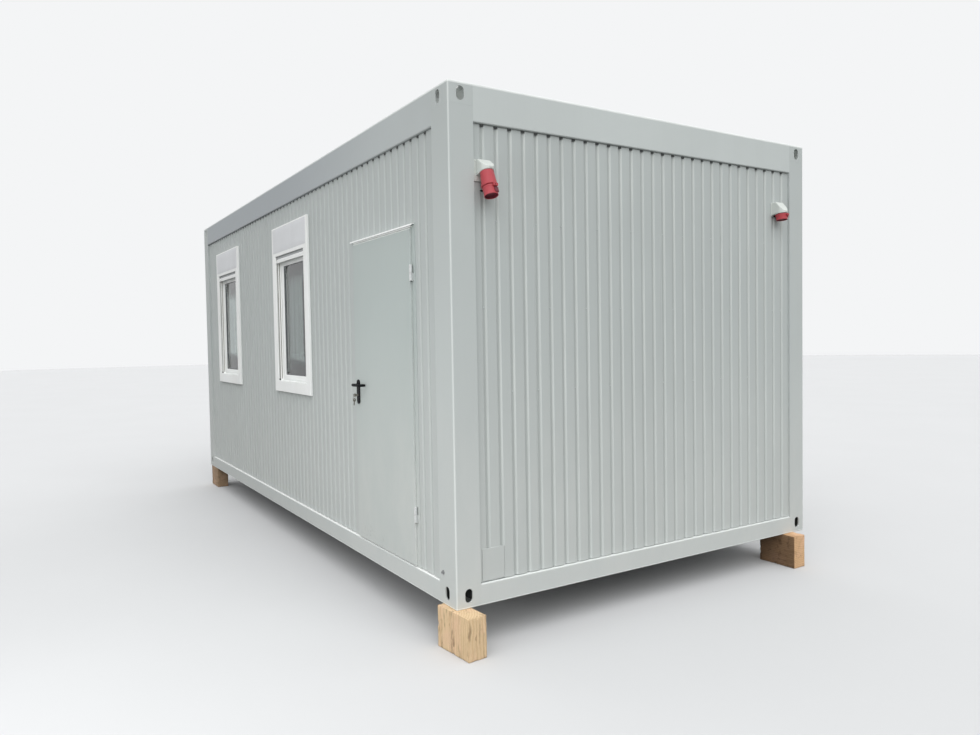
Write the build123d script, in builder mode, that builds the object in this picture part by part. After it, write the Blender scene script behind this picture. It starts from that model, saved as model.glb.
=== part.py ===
import os
from math import cos, radians, sin

from build123d import *

os.makedirs("parts", exist_ok=True)

# All sizes are in millimetres. The origin is on the ground under the middle of the cabin.
# +Z is up, X runs along the long sides, and the door and windows face -Y.

# Overall size of the steel cabin, without the timber blocks
length = 6058.0
width = 2989.0
cabin_height = 2845.0

# Timber blocks that carry the four bottom corners
block_length = 300.0
block_thickness = 122.0
block_height = 232.0
turned_block_angle = 4.5
turned_block_inset_x = 12.0
turned_block_inset_y = 35.0
back_block_reach = 94.0
back_block_inset = 114.0
left_block_inset = 10.0

# Steel frame
sheet = 4.0
bend_radius = 7.0
corner_radius = 9.0
corner_along = 190.0
corner_across = 156.0
floor_rail_height = 120.0
roof_rail_height = 205.0
rail_flange = 110.0
floor_rail_foot = 60.0
roof_rail_top = 80.0
roof_rail_lip = 20.0

# Corner castings with their stadium slots
casting_height = 120.0
casting_wall = 10.0
slot_width = 48.0
slot_height = 76.0
top_slot_below_top = 62.0
bottom_slot_above_bottom = 70.0
top_slot_along = 115.0
bottom_slot_along = 102.0
slot_across = 78.0
cap_slot_length = 100.0
cap_slot_width = 60.0

# Walls of grooved steel sheet with insulation and a lining board
skin_recess = 15.0
wall_thickness = 75.0
lining_thickness = 12.0
board_gap = 2.0
long_board_count = 5
end_board_count = 3
groove_pitch = 90.73
groove_mouth = 30.0
groove_bottom = 14.0
groove_depth = 10.0
front_first_groove = 205.0
end_first_groove = 218.0

# Floor and ceiling
cross_member_count = 9
cross_member_width = 50.0
cross_member_wall = 3.0
floor_thickness = 40.0
ceiling_thickness = 12.0

# Recessed roof sheet with standing ribs
roof_sheet_drop = 70.0
roof_sheet_thickness = 3.0
roof_rib_count = 9
roof_rib_width = 24.0
roof_rib_height = 25.0

# Door, measured along the front from the near right corner
leaf_hinge_edge = 483.0
leaf_width = 868.0
leaf_height = 2000.0
leaf_lip = 6.0
leaf_edge = 2.5
leaf_thickness = 45.0
leaf_sill_gap = 8.0
lip_overlap = 13.0
leaf_gap = 7.0
frame_flange = 4.0
frame_margin = 40.0
frame_head_margin = 22.0
frame_stop = 9.0
frame_stop_depth = 50.0
frame_body = 15.0
lining_flange = 30.0
lining_flange_thickness = 3.0
threshold_thickness = 4.0
drip_reach = 19.0
drip_rise = 10.0
drip_face = 9.0
drip_sheet = 3.0

# Lift-off hinges
barrel_radius = 10.0
barrel_proud = 2.0
barrel_gap = 1.0
half_barrel = 46.0
half_gap = 0.3
pin_radius = 5.0
pin_clearance = 0.1
pin_height = 34.0
pin_end_gap = 2.0
hinge_arm = 8.0
lower_hinge = 390.0
upper_hinge = 1817.0

# Door furniture
backset = 46.0
lever_height = 1175.0
lever_radius = 8.0
lever_grip = 130.0
lever_reach_out = 52.0
lever_reach_in = 47.0
lever_return_gap = 8.0
lever_bend = 18.0
spindle_hole_clearance = 2.0
plate_hole_clearance = 0.3
plate_thickness = 8.0
plate_height = 165.0
plate_centre = 1127.0
outer_plate_width = 44.0
inner_plate_width = 34.0
lock_height = 1105.0
lock_radius = 8.5
lock_clearance = 0.5
lock_proud = 4.0
key_length = 30.0
key_width = 24.0
key_thickness = 3.0
ring_radius = 13.0
ring_wire = 1.5
tag_length = 46.0
tag_width = 22.0

# Windows: one is measured from the near right corner, the other from the far left corner
window_from_right = 2773.0
window_from_left = 1098.0
cover_width = 945.0
cover_height = 1432.0
cover_below_roof = 370.0
cover_stile = 96.0
cover_sill = 93.0
cover_head = 250.0
cover_proud = 4.0
cover_edge = 2.5
cover_side_lap = 52.5
cover_bottom_lap = 47.0
cover_top_lap = 45.0
guide_near = 5.0
guide_far = 17.0
guide_depth = 12.0
frame_face_depth = 40.0
frame_face = 24.0
frame_sill_face = 14.0
frame_head_face = 53.0
sash_joint = 0.5
sash_depth = 46.0
sash_step = 2.0
sash_stile = 64.0
sash_bottom_rail = 40.0
sash_top_rail = 37.0
glass_thickness = 24.0
glass_setback = 16.0
slat_below_reveal = 57.0
slat_height = 34.0
slat_thickness = 9.0
curtain_above_reveal = 75.0
curtain_thickness = 5.0
slat_end_gap = 4.0

# Power inlet near the front corner and outlet near the back corner, on the right end wall
hood_wall = 6.0
hood_rim = 3.0
hood_nose = 14.0
inlet_from_front = 215.0
inlet_below_roof = 474.0
inlet_tilt = 17.5
inlet_reach = 36.0
inlet_plate_width = 108.0
inlet_plate_drop = 45.0
inlet_plate_rise = 73.0
inlet_hood_flat = 4.0
inlet_radius = 37.5
inlet_taper = 5.5
inlet_sleeve = 68.0
inlet_collar = 10.0
inlet_collar_step = 2.0
inlet_neck = 4.0
inlet_lid = 61.0
inlet_lid_radius = 40.0
inlet_lid_taper = 2.5
outlet_from_back = 300.0
outlet_below_roof = 517.0
outlet_tilt = 6.0
outlet_reach = 40.0
outlet_plate_width = 92.0
outlet_plate_drop = 14.0
outlet_plate_rise = 84.0
outlet_hood_flat = 22.0
outlet_radius = 38.0
outlet_seam = 4.0
outlet_lid = 42.0
outlet_lid_radius = 40.0
outlet_lid_taper = 2.5

# Blanking plate on the right end wall
blank_place = 246.0
blank_width = 144.0
blank_bottom = 131.0
blank_height = 178.0
blank_thickness = 4.0

# Levels and faces that follow from the sizes above
face_x = length / 2
face_y = width / 2
steel_bottom = block_height
ledge = steel_bottom + floor_rail_height
floor_top = ledge + floor_thickness
roof_top = steel_bottom + cabin_height
wall_top = roof_top - roof_rail_height
wall_back = skin_recess + wall_thickness
lining_back = wall_back + lining_thickness
leaf_bottom = ledge + leaf_sill_gap
leaf_top = leaf_bottom + leaf_height
leaf_high = length - leaf_hinge_edge
leaf_low = leaf_high - leaf_width
window_centres = [length - window_from_right, window_from_left]
window_hole_half = cover_width / 2 - cover_side_lap
window_hole_low = [centre - window_hole_half for centre in window_centres]
window_hole_high = [centre + window_hole_half for centre in window_centres]
cover_top = cabin_height - cover_below_roof
cover_bottom = cover_top - cover_height
window_hole_bottom = cover_bottom + cover_bottom_lap
window_hole_top = cover_top - cover_top_lap

# Each side runs round the cabin, seen from above, from its first corner
# The entry holds the corner, the direction along the side and the side's length
up = Vector(0, 0, 1)
sides = {
    "front": (Vector(-face_x, -face_y, 0), Vector(1, 0, 0), length),
    "right": (Vector(face_x, -face_y, 0), Vector(0, 1, 0), width),
    "back": (Vector(face_x, face_y, 0), Vector(-1, 0, 0), length),
    "left": (Vector(-face_x, face_y, 0), Vector(0, -1, 0), width),
}
corner_size = {"front": corner_along, "back": corner_along, "right": corner_across, "left": corner_across}
corners = {"front_right": (1, -1), "back_right": (1, 1), "back_left": (-1, 1), "front_left": (-1, -1)}


# Flat plane with x along the side and y inwards
def plan(side, level):
    origin, along, _ = sides[side]
    return Plane(origin=origin + up * level, x_dir=along, z_dir=up)


# Plane across the side with x inwards and y up
def section(side, place):
    origin, along, _ = sides[side]
    return Plane(origin=origin + along * place, x_dir=up.cross(along), z_dir=along)


# Standing plane with x along the side and y up, facing outwards, at a depth behind the frame's face
def elevation(side, depth):
    origin, along, _ = sides[side]
    inward = up.cross(along)
    return Plane(origin=origin + inward * depth, x_dir=along, z_dir=inward * -1)


def save(piece, name):
    piece.part.label = name
    export_step(piece.part, f"parts/{name}.step")


# Rectangle between two pairs of limits, inside a sketch
def limits_rectangle(low_x, high_x, low_y, high_y, mode=Mode.ADD):
    with Locations(((low_x + high_x) / 2, (low_y + high_y) / 2)):
        Rectangle(high_x - low_x, high_y - low_y, mode=mode)


# One timber block, standing on its long edge
def timber_block(centre_x, centre_y, angle):
    with BuildPart() as block:
        with BuildSketch(Plane.XY):
            with Locations((centre_x, centre_y)):
                Rectangle(block_length, block_thickness, rotation=angle)
        extrude(amount=block_height)
        chamfer(block.edges().filter_by(Axis.Z), 3)
    return block


turned_x = face_x - turned_block_inset_x
turned_y = face_y - turned_block_inset_y
back_x = face_x + back_block_reach - block_length / 2
back_y = face_y - back_block_inset - block_thickness / 2
left_x = face_x - block_length / 2
left_y = face_y - left_block_inset - block_thickness / 2
save(timber_block(turned_x, -turned_y, turned_block_angle), "timber_block_front_right")
save(timber_block(-turned_x, turned_y, turned_block_angle), "timber_block_back_left")
save(timber_block(back_x, back_y, 0), "timber_block_back_right")
save(timber_block(-left_x, -left_y, 0), "timber_block_front_left")


# Cold-formed rail between two corners, extruded from its section
def rail(side, profile):
    _, _, span = sides[side]
    with BuildPart() as beam:
        with BuildSketch(section(side, corner_size[side])) as outline:
            Polygon(*profile, align=None)
            fillet(outline.vertices().sort_by(Axis.X)[:2], bend_radius)
        extrude(amount=span - 2 * corner_size[side])
    return beam


floor_profile = [
    (0, steel_bottom),
    (0, ledge),
    (rail_flange, ledge),
    (rail_flange, ledge - sheet),
    (sheet, ledge - sheet),
    (sheet, steel_bottom + sheet),
    (floor_rail_foot, steel_bottom + sheet),
    (floor_rail_foot, steel_bottom),
]
lip_end = roof_top - sheet - roof_rail_lip
roof_profile = [
    (0, wall_top),
    (0, roof_top),
    (roof_rail_top, roof_top),
    (roof_rail_top, lip_end),
    (roof_rail_top - sheet, lip_end),
    (roof_rail_top - sheet, roof_top - sheet),
    (sheet, roof_top - sheet),
    (sheet, wall_top + sheet),
    (rail_flange, wall_top + sheet),
    (rail_flange, wall_top),
]
for side in sides:
    save(rail(side, floor_profile), f"floor_rail_{side}")
    save(rail(side, roof_profile), f"roof_rail_{side}")


# Hollow folded corner post, an L in plan that follows the two walls
def corner_post(sign_x, sign_y):
    outline = [
        (0, 0),
        (corner_along, 0),
        (corner_along, wall_back),
        (wall_back, wall_back),
        (wall_back, corner_across),
        (0, corner_across),
    ]
    points = [(sign_x * (face_x - x), sign_y * (face_y - y)) for x, y in outline]
    bottom = steel_bottom + casting_height
    with BuildPart() as post:
        with BuildSketch(Plane.XY.offset(bottom)) as profile:
            Polygon(*points, align=None)
            outer = profile.vertices().sort_by_distance((sign_x * face_x, sign_y * face_y))[0]
            fillet(outer, corner_radius)
            offset(amount=-sheet, kind=Kind.INTERSECTION, mode=Mode.SUBTRACT)
        extrude(amount=roof_top - casting_height - bottom)
    return post


for name, (sign_x, sign_y) in corners.items():
    save(corner_post(sign_x, sign_y), f"corner_post_{name}")


# Hollow corner castings with a stadium slot in both faces and one in the cap, one to each corner
def corner_castings(bottom, cap_level, slot_level, slot_along, cap_group):
    inner_along = corner_along - 2 * casting_wall
    inner_across = corner_across - 2 * casting_wall
    centre_x = face_x - corner_along / 2
    centre_y = face_y - corner_across / 2
    with BuildPart() as castings:
        for sign_x, sign_y in corners.values():
            with BuildSketch(Plane.XY.offset(bottom)) as plan_outline:
                with Locations((sign_x * centre_x, sign_y * centre_y)):
                    Rectangle(corner_along, corner_across)
                outer = plan_outline.vertices().sort_by_distance((sign_x * face_x, sign_y * face_y))[0]
                fillet(outer, corner_radius)
            extrude(amount=casting_height)
        cap_edges = castings.edges().group_by(Axis.Z)[cap_group]
        outer_edges = [
            edge
            for edge in cap_edges
            if abs(edge.center().X) > face_x - corner_radius or abs(edge.center().Y) > face_y - corner_radius
        ]
        fillet(outer_edges, bend_radius)
        with BuildSketch(Plane.XY.offset(bottom + casting_wall)):
            with Locations(*[(sx * centre_x, sy * centre_y) for sx, sy in corners.values()]):
                Rectangle(inner_along, inner_across)
        extrude(amount=casting_height - 2 * casting_wall, mode=Mode.SUBTRACT)
        with BuildSketch(Plane.XY.offset(cap_level)):
            with Locations(*[(sx * centre_x, sy * centre_y) for sx, sy in corners.values()]):
                SlotOverall(cap_slot_length, cap_slot_width)
        extrude(amount=casting_wall, mode=Mode.SUBTRACT)
        for side, side_slot in (("front", slot_along), ("right", slot_across), ("back", slot_along), ("left", slot_across)):
            span = sides[side][2]
            with BuildSketch(elevation(side, casting_wall)):
                with Locations((side_slot, slot_level), (span - side_slot, slot_level)):
                    SlotOverall(slot_height, slot_width, rotation=90)
            extrude(amount=casting_wall, mode=Mode.SUBTRACT)
    return castings


floor_castings = corner_castings(
    steel_bottom, steel_bottom, steel_bottom + bottom_slot_above_bottom, bottom_slot_along, 0
)
save(floor_castings, "floor_corner_castings")
roof_castings = corner_castings(
    roof_top - casting_height, roof_top - casting_wall, roof_top - top_slot_below_top, top_slot_along, -1
)
save(roof_castings, "roof_corner_castings")

# Floor: cross members between the long rails, the sheet over them and the deck
member_span = length - 2 * corner_along - cross_member_width
member_pitch = member_span / (cross_member_count - 1)
member_height = floor_rail_height - 2 * sheet
with BuildPart() as floor_cross_members:
    with BuildSketch(Plane.XZ.offset(-(face_y - sheet))):
        with Locations((0, steel_bottom + floor_rail_height / 2)):
            with GridLocations(member_pitch, 1, cross_member_count, 1):
                Rectangle(cross_member_width, member_height)
                Rectangle(
                    cross_member_width - 2 * cross_member_wall,
                    member_height - 2 * cross_member_wall,
                    mode=Mode.SUBTRACT,
                )
    extrude(amount=width - 2 * sheet)
save(floor_cross_members, "floor_cross_members")

with BuildPart() as underfloor_sheet:
    with BuildSketch(Plane.XY.offset(ledge - sheet)):
        Rectangle(length - 2 * rail_flange, width - 2 * rail_flange)
        for sign_x, sign_y in corners.values():
            with Locations((sign_x * (face_x - corner_along / 2), sign_y * (face_y - corner_across / 2))):
                Rectangle(corner_along, corner_across, mode=Mode.SUBTRACT)
    extrude(amount=sheet)
save(underfloor_sheet, "underfloor_sheet")

with BuildPart() as floor_deck:
    with BuildSketch(Plane.XY.offset(ledge)):
        Rectangle(length - 2 * wall_back, width - 2 * wall_back)
    extrude(amount=floor_thickness)
save(floor_deck, "floor_deck")

# Ceiling boards on the inner flanges of the roof rails
with BuildPart() as ceiling:
    with BuildSketch(Plane.XY.offset(wall_top + sheet)):
        Rectangle(length - 2 * wall_back, width - 2 * wall_back)
    extrude(amount=ceiling_thickness)
save(ceiling, "ceiling")

# Roof sheet between the webs of the rails, with ribs across and its corners cut round the castings
roof_sheet_level = roof_top - roof_sheet_drop
roof_rib_pitch = (length - 2 * corner_along) / roof_rib_count
with BuildPart() as roof_sheet:
    with BuildSketch(Plane.XZ.offset(-(face_y - sheet))):
        with Locations((0, roof_sheet_level + roof_sheet_thickness / 2)):
            Rectangle(length - 2 * sheet, roof_sheet_thickness)
        with Locations((0, roof_sheet_level + roof_sheet_thickness + roof_rib_height / 2)):
            with GridLocations(roof_rib_pitch, 1, roof_rib_count, 1):
                Rectangle(roof_rib_width, roof_rib_height)
    extrude(amount=width - 2 * sheet)
    with BuildSketch(Plane.XY.offset(roof_sheet_level)):
        for sign_x, sign_y in corners.values():
            with Locations((sign_x * (face_x - corner_along / 2), sign_y * (face_y - corner_across / 2))):
                Rectangle(corner_along, corner_across)
    extrude(amount=roof_sheet_thickness + roof_rib_height, mode=Mode.SUBTRACT)
save(roof_sheet, "roof_sheet")


# Places of the grooves' middles along a side, up to the far corner
def groove_places(side, first):
    reach = sides[side][2] - corner_size[side] - first
    count = int(reach // groove_pitch) + 1
    return [first + number * groove_pitch for number in range(count)]


front_grooves = [length - place for place in groove_places("front", front_first_groove)]
back_grooves = groove_places("back", front_first_groove)
right_grooves = groove_places("right", end_first_groove)
left_grooves = [width - place for place in groove_places("left", end_first_groove)]
groove_outline = [
    (-groove_mouth / 2, 0),
    (groove_mouth / 2, 0),
    (groove_bottom / 2, groove_depth),
    (-groove_bottom / 2, groove_depth),
]


# Grooved wall panels between pairs of places along a side
def wall_panels(side, spans, bottom, top, grooves):
    reach = groove_mouth / 2
    near = [g for g in grooves if any(low - reach < g < high + reach for low, high in spans)]
    with BuildPart() as panels:
        with BuildSketch(plan(side, bottom)):
            for low, high in spans:
                limits_rectangle(low, high, skin_recess, wall_back)
            with Locations(*[(place, skin_recess) for place in near]):
                Polygon(*groove_outline, align=None, mode=Mode.SUBTRACT)
        extrude(amount=top - bottom)
    return panels


door_hole_low = leaf_low - frame_body
door_hole_high = leaf_high + frame_body
door_hole_top = leaf_top + frame_body
hole_starts = window_hole_low[::-1] + [door_hole_low, length - corner_along]
hole_ends = [corner_along] + window_hole_high[::-1] + [door_hole_high]
pier_spans = list(zip(hole_ends, hole_starts))
window_spans = list(zip(window_hole_low, window_hole_high))
hole_bottom = steel_bottom + window_hole_bottom
hole_top = steel_bottom + window_hole_top
save(wall_panels("front", pier_spans, ledge, wall_top, front_grooves), "front_wall_piers")
save(wall_panels("front", window_spans, ledge, hole_bottom, front_grooves), "front_wall_under_windows")
save(wall_panels("front", window_spans, hole_top, wall_top, front_grooves), "front_wall_over_windows")
door_span = [(door_hole_low, door_hole_high)]
save(wall_panels("front", door_span, door_hole_top, wall_top, front_grooves), "front_wall_over_door")
long_span = [(corner_along, length - corner_along)]
end_span = [(corner_across, width - corner_across)]
save(wall_panels("back", long_span, ledge, wall_top, back_grooves), "back_wall")
save(wall_panels("left", end_span, ledge, wall_top, left_grooves), "left_wall")
save(wall_panels("right", end_span, ledge, wall_top, right_grooves), "right_wall")


# Lining boards as limits along the side and up, with a joint between neighbours
def lining_boards(side, boards):
    gap = board_gap / 2
    with BuildSketch(elevation(side, lining_back)) as outline:
        for low, high, bottom, top in boards:
            limits_rectangle(low + gap, high - gap, bottom + gap, top - gap)
    return outline.sketch


# Equal boards between two places, from floor to ceiling
def even_boards(low, high, count):
    step = (high - low) / count
    gap = board_gap / 2
    return [(low + n * step, low + (n + 1) * step, floor_top - gap, wall_top + gap) for n in range(count)]


front_boards = []
for low, high in zip([wall_back] + hole_ends[1:], hole_starts[:-1] + [length - wall_back]):
    front_boards.append((low - board_gap / 2, high + board_gap / 2, floor_top - board_gap / 2, wall_top + board_gap / 2))
for low, high in window_spans:
    front_boards.append((low + board_gap / 2, high - board_gap / 2, floor_top - board_gap / 2, hole_bottom + board_gap / 2))
    front_boards.append((low + board_gap / 2, high - board_gap / 2, hole_top - board_gap / 2, wall_top + board_gap / 2))
front_boards.append(
    (door_hole_low + board_gap / 2, door_hole_high - board_gap / 2, door_hole_top - board_gap / 2, wall_top + board_gap / 2)
)
with BuildPart() as long_wall_linings:
    extrude(lining_boards("front", front_boards), amount=lining_thickness)
    extrude(lining_boards("back", even_boards(wall_back, length - wall_back, long_board_count)), amount=lining_thickness)
save(long_wall_linings, "long_wall_linings")
end_boards = even_boards(lining_back, width - lining_back, end_board_count)
with BuildPart() as end_wall_linings:
    extrude(lining_boards("left", end_boards), amount=lining_thickness)
    extrude(lining_boards("right", end_boards), amount=lining_thickness)
save(end_wall_linings, "end_wall_linings")


# Three-sided outline round the doorway, on the front elevation at a depth
def doorway_outline(depth, margin, head_margin, inset, bottom):
    with BuildSketch(elevation("front", depth)) as outline:
        limits_rectangle(leaf_low - margin, leaf_high + margin, bottom, leaf_top + head_margin)
        limits_rectangle(leaf_low + inset, leaf_high - inset, bottom, leaf_top - inset, mode=Mode.SUBTRACT)
    return outline.sketch


# Door frame in layers of depth: outer flange, rebate, stop and the flange over the lining
clear_inset = lip_overlap + frame_stop
with BuildPart() as door_frame:
    extrude(doorway_outline(skin_recess, frame_margin, frame_head_margin, lip_overlap, ledge), amount=frame_flange)
    rebate_outline = doorway_outline(frame_stop_depth, frame_body, frame_body, lip_overlap, ledge)
    extrude(rebate_outline, amount=frame_stop_depth - skin_recess)
    stop_outline = doorway_outline(wall_back, frame_body, frame_body, clear_inset, ledge)
    extrude(stop_outline, amount=wall_back - frame_stop_depth)
    inner_outline = doorway_outline(lining_back, frame_body, frame_body, clear_inset, floor_top)
    extrude(inner_outline, amount=lining_thickness)
    flange_depth = lining_back + lining_flange_thickness
    flange_margin = frame_body + lining_flange
    flange_outline = doorway_outline(flange_depth, flange_margin, flange_margin, clear_inset, floor_top)
    extrude(flange_outline, amount=lining_flange_thickness)
save(door_frame, "door_frame")

# Threshold over the edge of the deck, between the frame's jambs
threshold_back = flange_depth + threshold_thickness
threshold_profile = [
    (frame_stop_depth, ledge),
    (wall_back, ledge),
    (wall_back, floor_top),
    (threshold_back, floor_top),
    (threshold_back, floor_top + threshold_thickness),
    (frame_stop_depth, floor_top + threshold_thickness),
]
with BuildPart() as door_threshold:
    with BuildSketch(section("front", leaf_low + clear_inset)):
        Polygon(*threshold_profile, align=None)
    extrude(amount=leaf_width - 2 * clear_inset)
save(door_threshold, "door_threshold")

# Drip strip on the head of the frame's flange, clear above the leaf
flange_face = skin_recess - frame_flange
drip_bottom = leaf_top + drip_rise
drip_nose = flange_face - drip_reach
drip_profile = [
    (flange_face, drip_bottom + drip_face + drip_sheet),
    (drip_nose, drip_bottom + drip_face),
    (drip_nose, drip_bottom),
    (drip_nose + drip_sheet, drip_bottom),
    (drip_nose + drip_sheet, drip_bottom + drip_face - drip_sheet),
    (flange_face, drip_bottom + drip_face),
]
with BuildPart() as door_drip_strip:
    with BuildSketch(section("front", leaf_low - frame_margin)):
        Polygon(*drip_profile, align=None)
    extrude(amount=leaf_width + 2 * frame_margin)
save(door_drip_strip, "door_drip_strip")

# Door leaf: a lip that overlaps the frame and a thicker body inside the rebate
body_inset = lip_overlap + leaf_gap
lever_place = leaf_low + backset
lever_level = steel_bottom + lever_height
lock_level = steel_bottom + lock_height
spindle_hole = lever_radius + spindle_hole_clearance
lock_hole = lock_radius + lock_clearance
with BuildPart() as door_leaf:
    with BuildSketch(elevation("front", leaf_lip)):
        limits_rectangle(leaf_low, leaf_high, leaf_bottom, leaf_top)
    extrude(amount=leaf_lip)
    fillet(door_leaf.faces().sort_by(Axis.Y)[0].edges(), leaf_edge)
    with BuildSketch(elevation("front", leaf_thickness)):
        limits_rectangle(leaf_low + body_inset, leaf_high - body_inset, leaf_bottom, leaf_top - body_inset)
    extrude(amount=leaf_thickness - leaf_lip)
    with BuildSketch(elevation("front", leaf_thickness)):
        with Locations((lever_place, lever_level)):
            Circle(spindle_hole)
        with Locations((lever_place, lock_level)):
            Circle(lock_hole)
    extrude(amount=leaf_thickness, mode=Mode.SUBTRACT)
save(door_leaf, "door_leaf")

# Lift-off hinges: the pins and lower barrels stand on the frame, the upper barrels carry the leaf
axis_place = leaf_high + barrel_radius + barrel_gap
axis_depth = -barrel_proud
hinge_levels = [steel_bottom + lower_hinge, steel_bottom + upper_hinge]
with BuildPart() as door_hinge_pins:
    for level in hinge_levels:
        with BuildSketch(plan("front", level)):
            with Locations((axis_place, axis_depth)):
                Circle(barrel_radius)
            limits_rectangle(axis_place, axis_place + hinge_arm, axis_depth, flange_face)
        extrude(amount=half_barrel)
        with BuildSketch(plan("front", level + half_barrel)):
            with Locations((axis_place, axis_depth)):
                Circle(pin_radius)
        extrude(amount=pin_height)
save(door_hinge_pins, "door_hinge_pins")
with BuildPart() as door_hinge_barrels:
    for level in hinge_levels:
        start = level + half_barrel + half_gap
        with BuildSketch(plan("front", start)):
            with Locations((axis_place, axis_depth)):
                Circle(barrel_radius)
            limits_rectangle(leaf_high, axis_place, 0, leaf_lip)
        extrude(amount=half_barrel)
        with BuildSketch(plan("front", start)):
            with Locations((axis_place, axis_depth)):
                Circle(pin_radius + pin_clearance)
        extrude(amount=pin_height + pin_end_gap, mode=Mode.SUBTRACT)
save(door_hinge_barrels, "door_hinge_barrels")


# Long rounded plate with holes for the lever's neck and the lock
def handle_plate(depth, plate_width):
    with BuildSketch(elevation("front", depth)) as outline:
        with Locations((lever_place, steel_bottom + plate_centre)):
            SlotOverall(plate_height, plate_width, rotation=90)
        with Locations((lever_place, lever_level)):
            Circle(lever_radius + plate_hole_clearance, mode=Mode.SUBTRACT)
        with Locations((lever_place, lock_level)):
            Circle(lock_radius + plate_hole_clearance, mode=Mode.SUBTRACT)
    return outline.sketch


inner_plate_face = leaf_thickness + plate_thickness
with BuildPart() as door_handle_plates:
    extrude(handle_plate(0, outer_plate_width), amount=plate_thickness)
    extrude(handle_plate(inner_plate_face, inner_plate_width), amount=plate_thickness)
save(door_handle_plates, "door_handle_plates")

# Levers on both faces, bent back to the door and joined by their spindle through the leaf
lever_x = lever_place - face_x
middle_y = leaf_thickness / 2 - face_y
grip_x = lever_x + lever_grip
outer_grip_y = -face_y - lever_reach_out
outer_end_y = -face_y - lever_return_gap
inner_grip_y = -face_y + leaf_thickness + lever_reach_in
inner_end_y = -face_y + leaf_thickness + lever_return_gap
with BuildPart() as door_levers:
    for grip_y, end_y in ((outer_grip_y, outer_end_y), (inner_grip_y, inner_end_y)):
        with BuildLine(Plane.XY.offset(lever_level)) as path:
            FilletPolyline(
                (lever_x, middle_y),
                (lever_x, grip_y),
                (grip_x, grip_y),
                (grip_x, end_y),
                radius=lever_bend,
            )
        with BuildSketch(Plane(origin=path.line @ 0, z_dir=path.line % 0)):
            Circle(lever_radius)
        sweep(path=path.line)
save(door_levers, "door_levers")

# Lock cylinder with the key in it, and a ring with a second key
key_near = -plate_thickness - lock_proud
key_far = key_near - key_length
ring_centre = key_far + key_width / 4
with BuildPart() as lock_and_keys:
    with BuildSketch(elevation("front", inner_plate_face + lock_proud)):
        with Locations((lever_place, lock_level)):
            Circle(lock_radius)
    extrude(amount=inner_plate_face + lock_proud - key_near)
    with BuildSketch(section("front", lever_place - key_thickness / 2)):
        limits_rectangle(key_far, key_near, lock_level - key_width / 2, lock_level + key_width / 2)
    extrude(amount=key_thickness)
    with BuildSketch(elevation("front", ring_centre)):
        with Locations((lever_place, lock_level - ring_radius)):
            Circle(ring_radius + ring_wire)
            Circle(ring_radius - ring_wire, mode=Mode.SUBTRACT)
    extrude(amount=ring_wire, both=True)
    tag_top = lock_level - 2 * ring_radius + ring_wire
    with BuildSketch(section("front", lever_place - key_thickness / 2)):
        limits_rectangle(ring_centre - tag_width / 2, ring_centre + tag_width / 2, tag_top - tag_length, tag_top)
    extrude(amount=key_thickness)
save(lock_and_keys, "lock_and_keys")


# Rectangles at both windows between limits of height, with a hole where the inner limits are given
def window_outline(depth, outer, inner=None):
    with BuildSketch(elevation("front", depth)) as outline:
        for centre in window_centres:
            half, low, high = outer
            limits_rectangle(centre - half, centre + half, low + steel_bottom, high + steel_bottom)
            if inner:
                half, low, high = inner
                limits_rectangle(
                    centre - half, centre + half, low + steel_bottom, high + steel_bottom, mode=Mode.SUBTRACT
                )
    return outline.sketch


# White covers over the joint between window and wall, with the head over the shutter box
reveal_half = cover_width / 2 - cover_stile
cover_outer = (cover_width / 2, cover_bottom, cover_top)
reveal = (reveal_half, cover_bottom + cover_sill, cover_top - cover_head)
curtain_top = reveal[2] + curtain_above_reveal
guide_slot = (reveal_half + guide_depth, reveal[1], reveal[2])
guide_and_box = (guide_slot[0], reveal[1], curtain_top)
with BuildPart() as window_covers:
    extrude(window_outline(guide_near, cover_outer, reveal), amount=guide_near + cover_proud)
    fillet(window_covers.faces().filter_by(Axis.Y).group_by(Axis.Y)[0].edges(), cover_edge)
    extrude(window_outline(skin_recess, cover_outer, guide_and_box), amount=skin_recess - guide_near)
save(window_covers, "window_covers")

# Fixed frames with the shutter boxes above them, which leave a slot for the rolled shutter
hole_outer = (window_hole_half, window_hole_bottom, window_hole_top)
sash_bottom = reveal[1] + frame_sill_face
sash_top = reveal[2] - frame_head_face
sash_outer = (reveal_half - frame_face, sash_bottom, sash_top)
sash_hole = (sash_outer[0] + sash_joint, sash_bottom - sash_joint, sash_top + sash_joint)
curtain_half = guide_slot[0] - slat_end_gap
with BuildPart() as window_frames:
    extrude(window_outline(guide_far, hole_outer, guide_slot), amount=guide_far - skin_recess)
    extrude(window_outline(frame_face_depth, hole_outer, reveal), amount=frame_face_depth - guide_far)
    extrude(window_outline(lining_back, hole_outer, sash_hole), amount=lining_back - frame_face_depth)
    shutter_slot = (guide_slot[0], reveal[2], curtain_top)
    extrude(window_outline(guide_far, shutter_slot), amount=guide_far - skin_recess, mode=Mode.SUBTRACT)
save(window_frames, "window_frames")

# Sashes and their double panes
sash_near = frame_face_depth + sash_step
glass_limits = (
    sash_outer[0] - sash_stile,
    sash_bottom + sash_bottom_rail,
    sash_top - sash_top_rail,
)
with BuildPart() as window_sashes:
    extrude(window_outline(sash_near + sash_depth, sash_outer, glass_limits), amount=sash_depth)
save(window_sashes, "window_sashes")
glass_far = sash_near + glass_setback + glass_thickness
with BuildPart() as window_glass:
    extrude(window_outline(glass_far, glass_limits), amount=glass_thickness)
save(window_glass, "window_glass")

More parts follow.
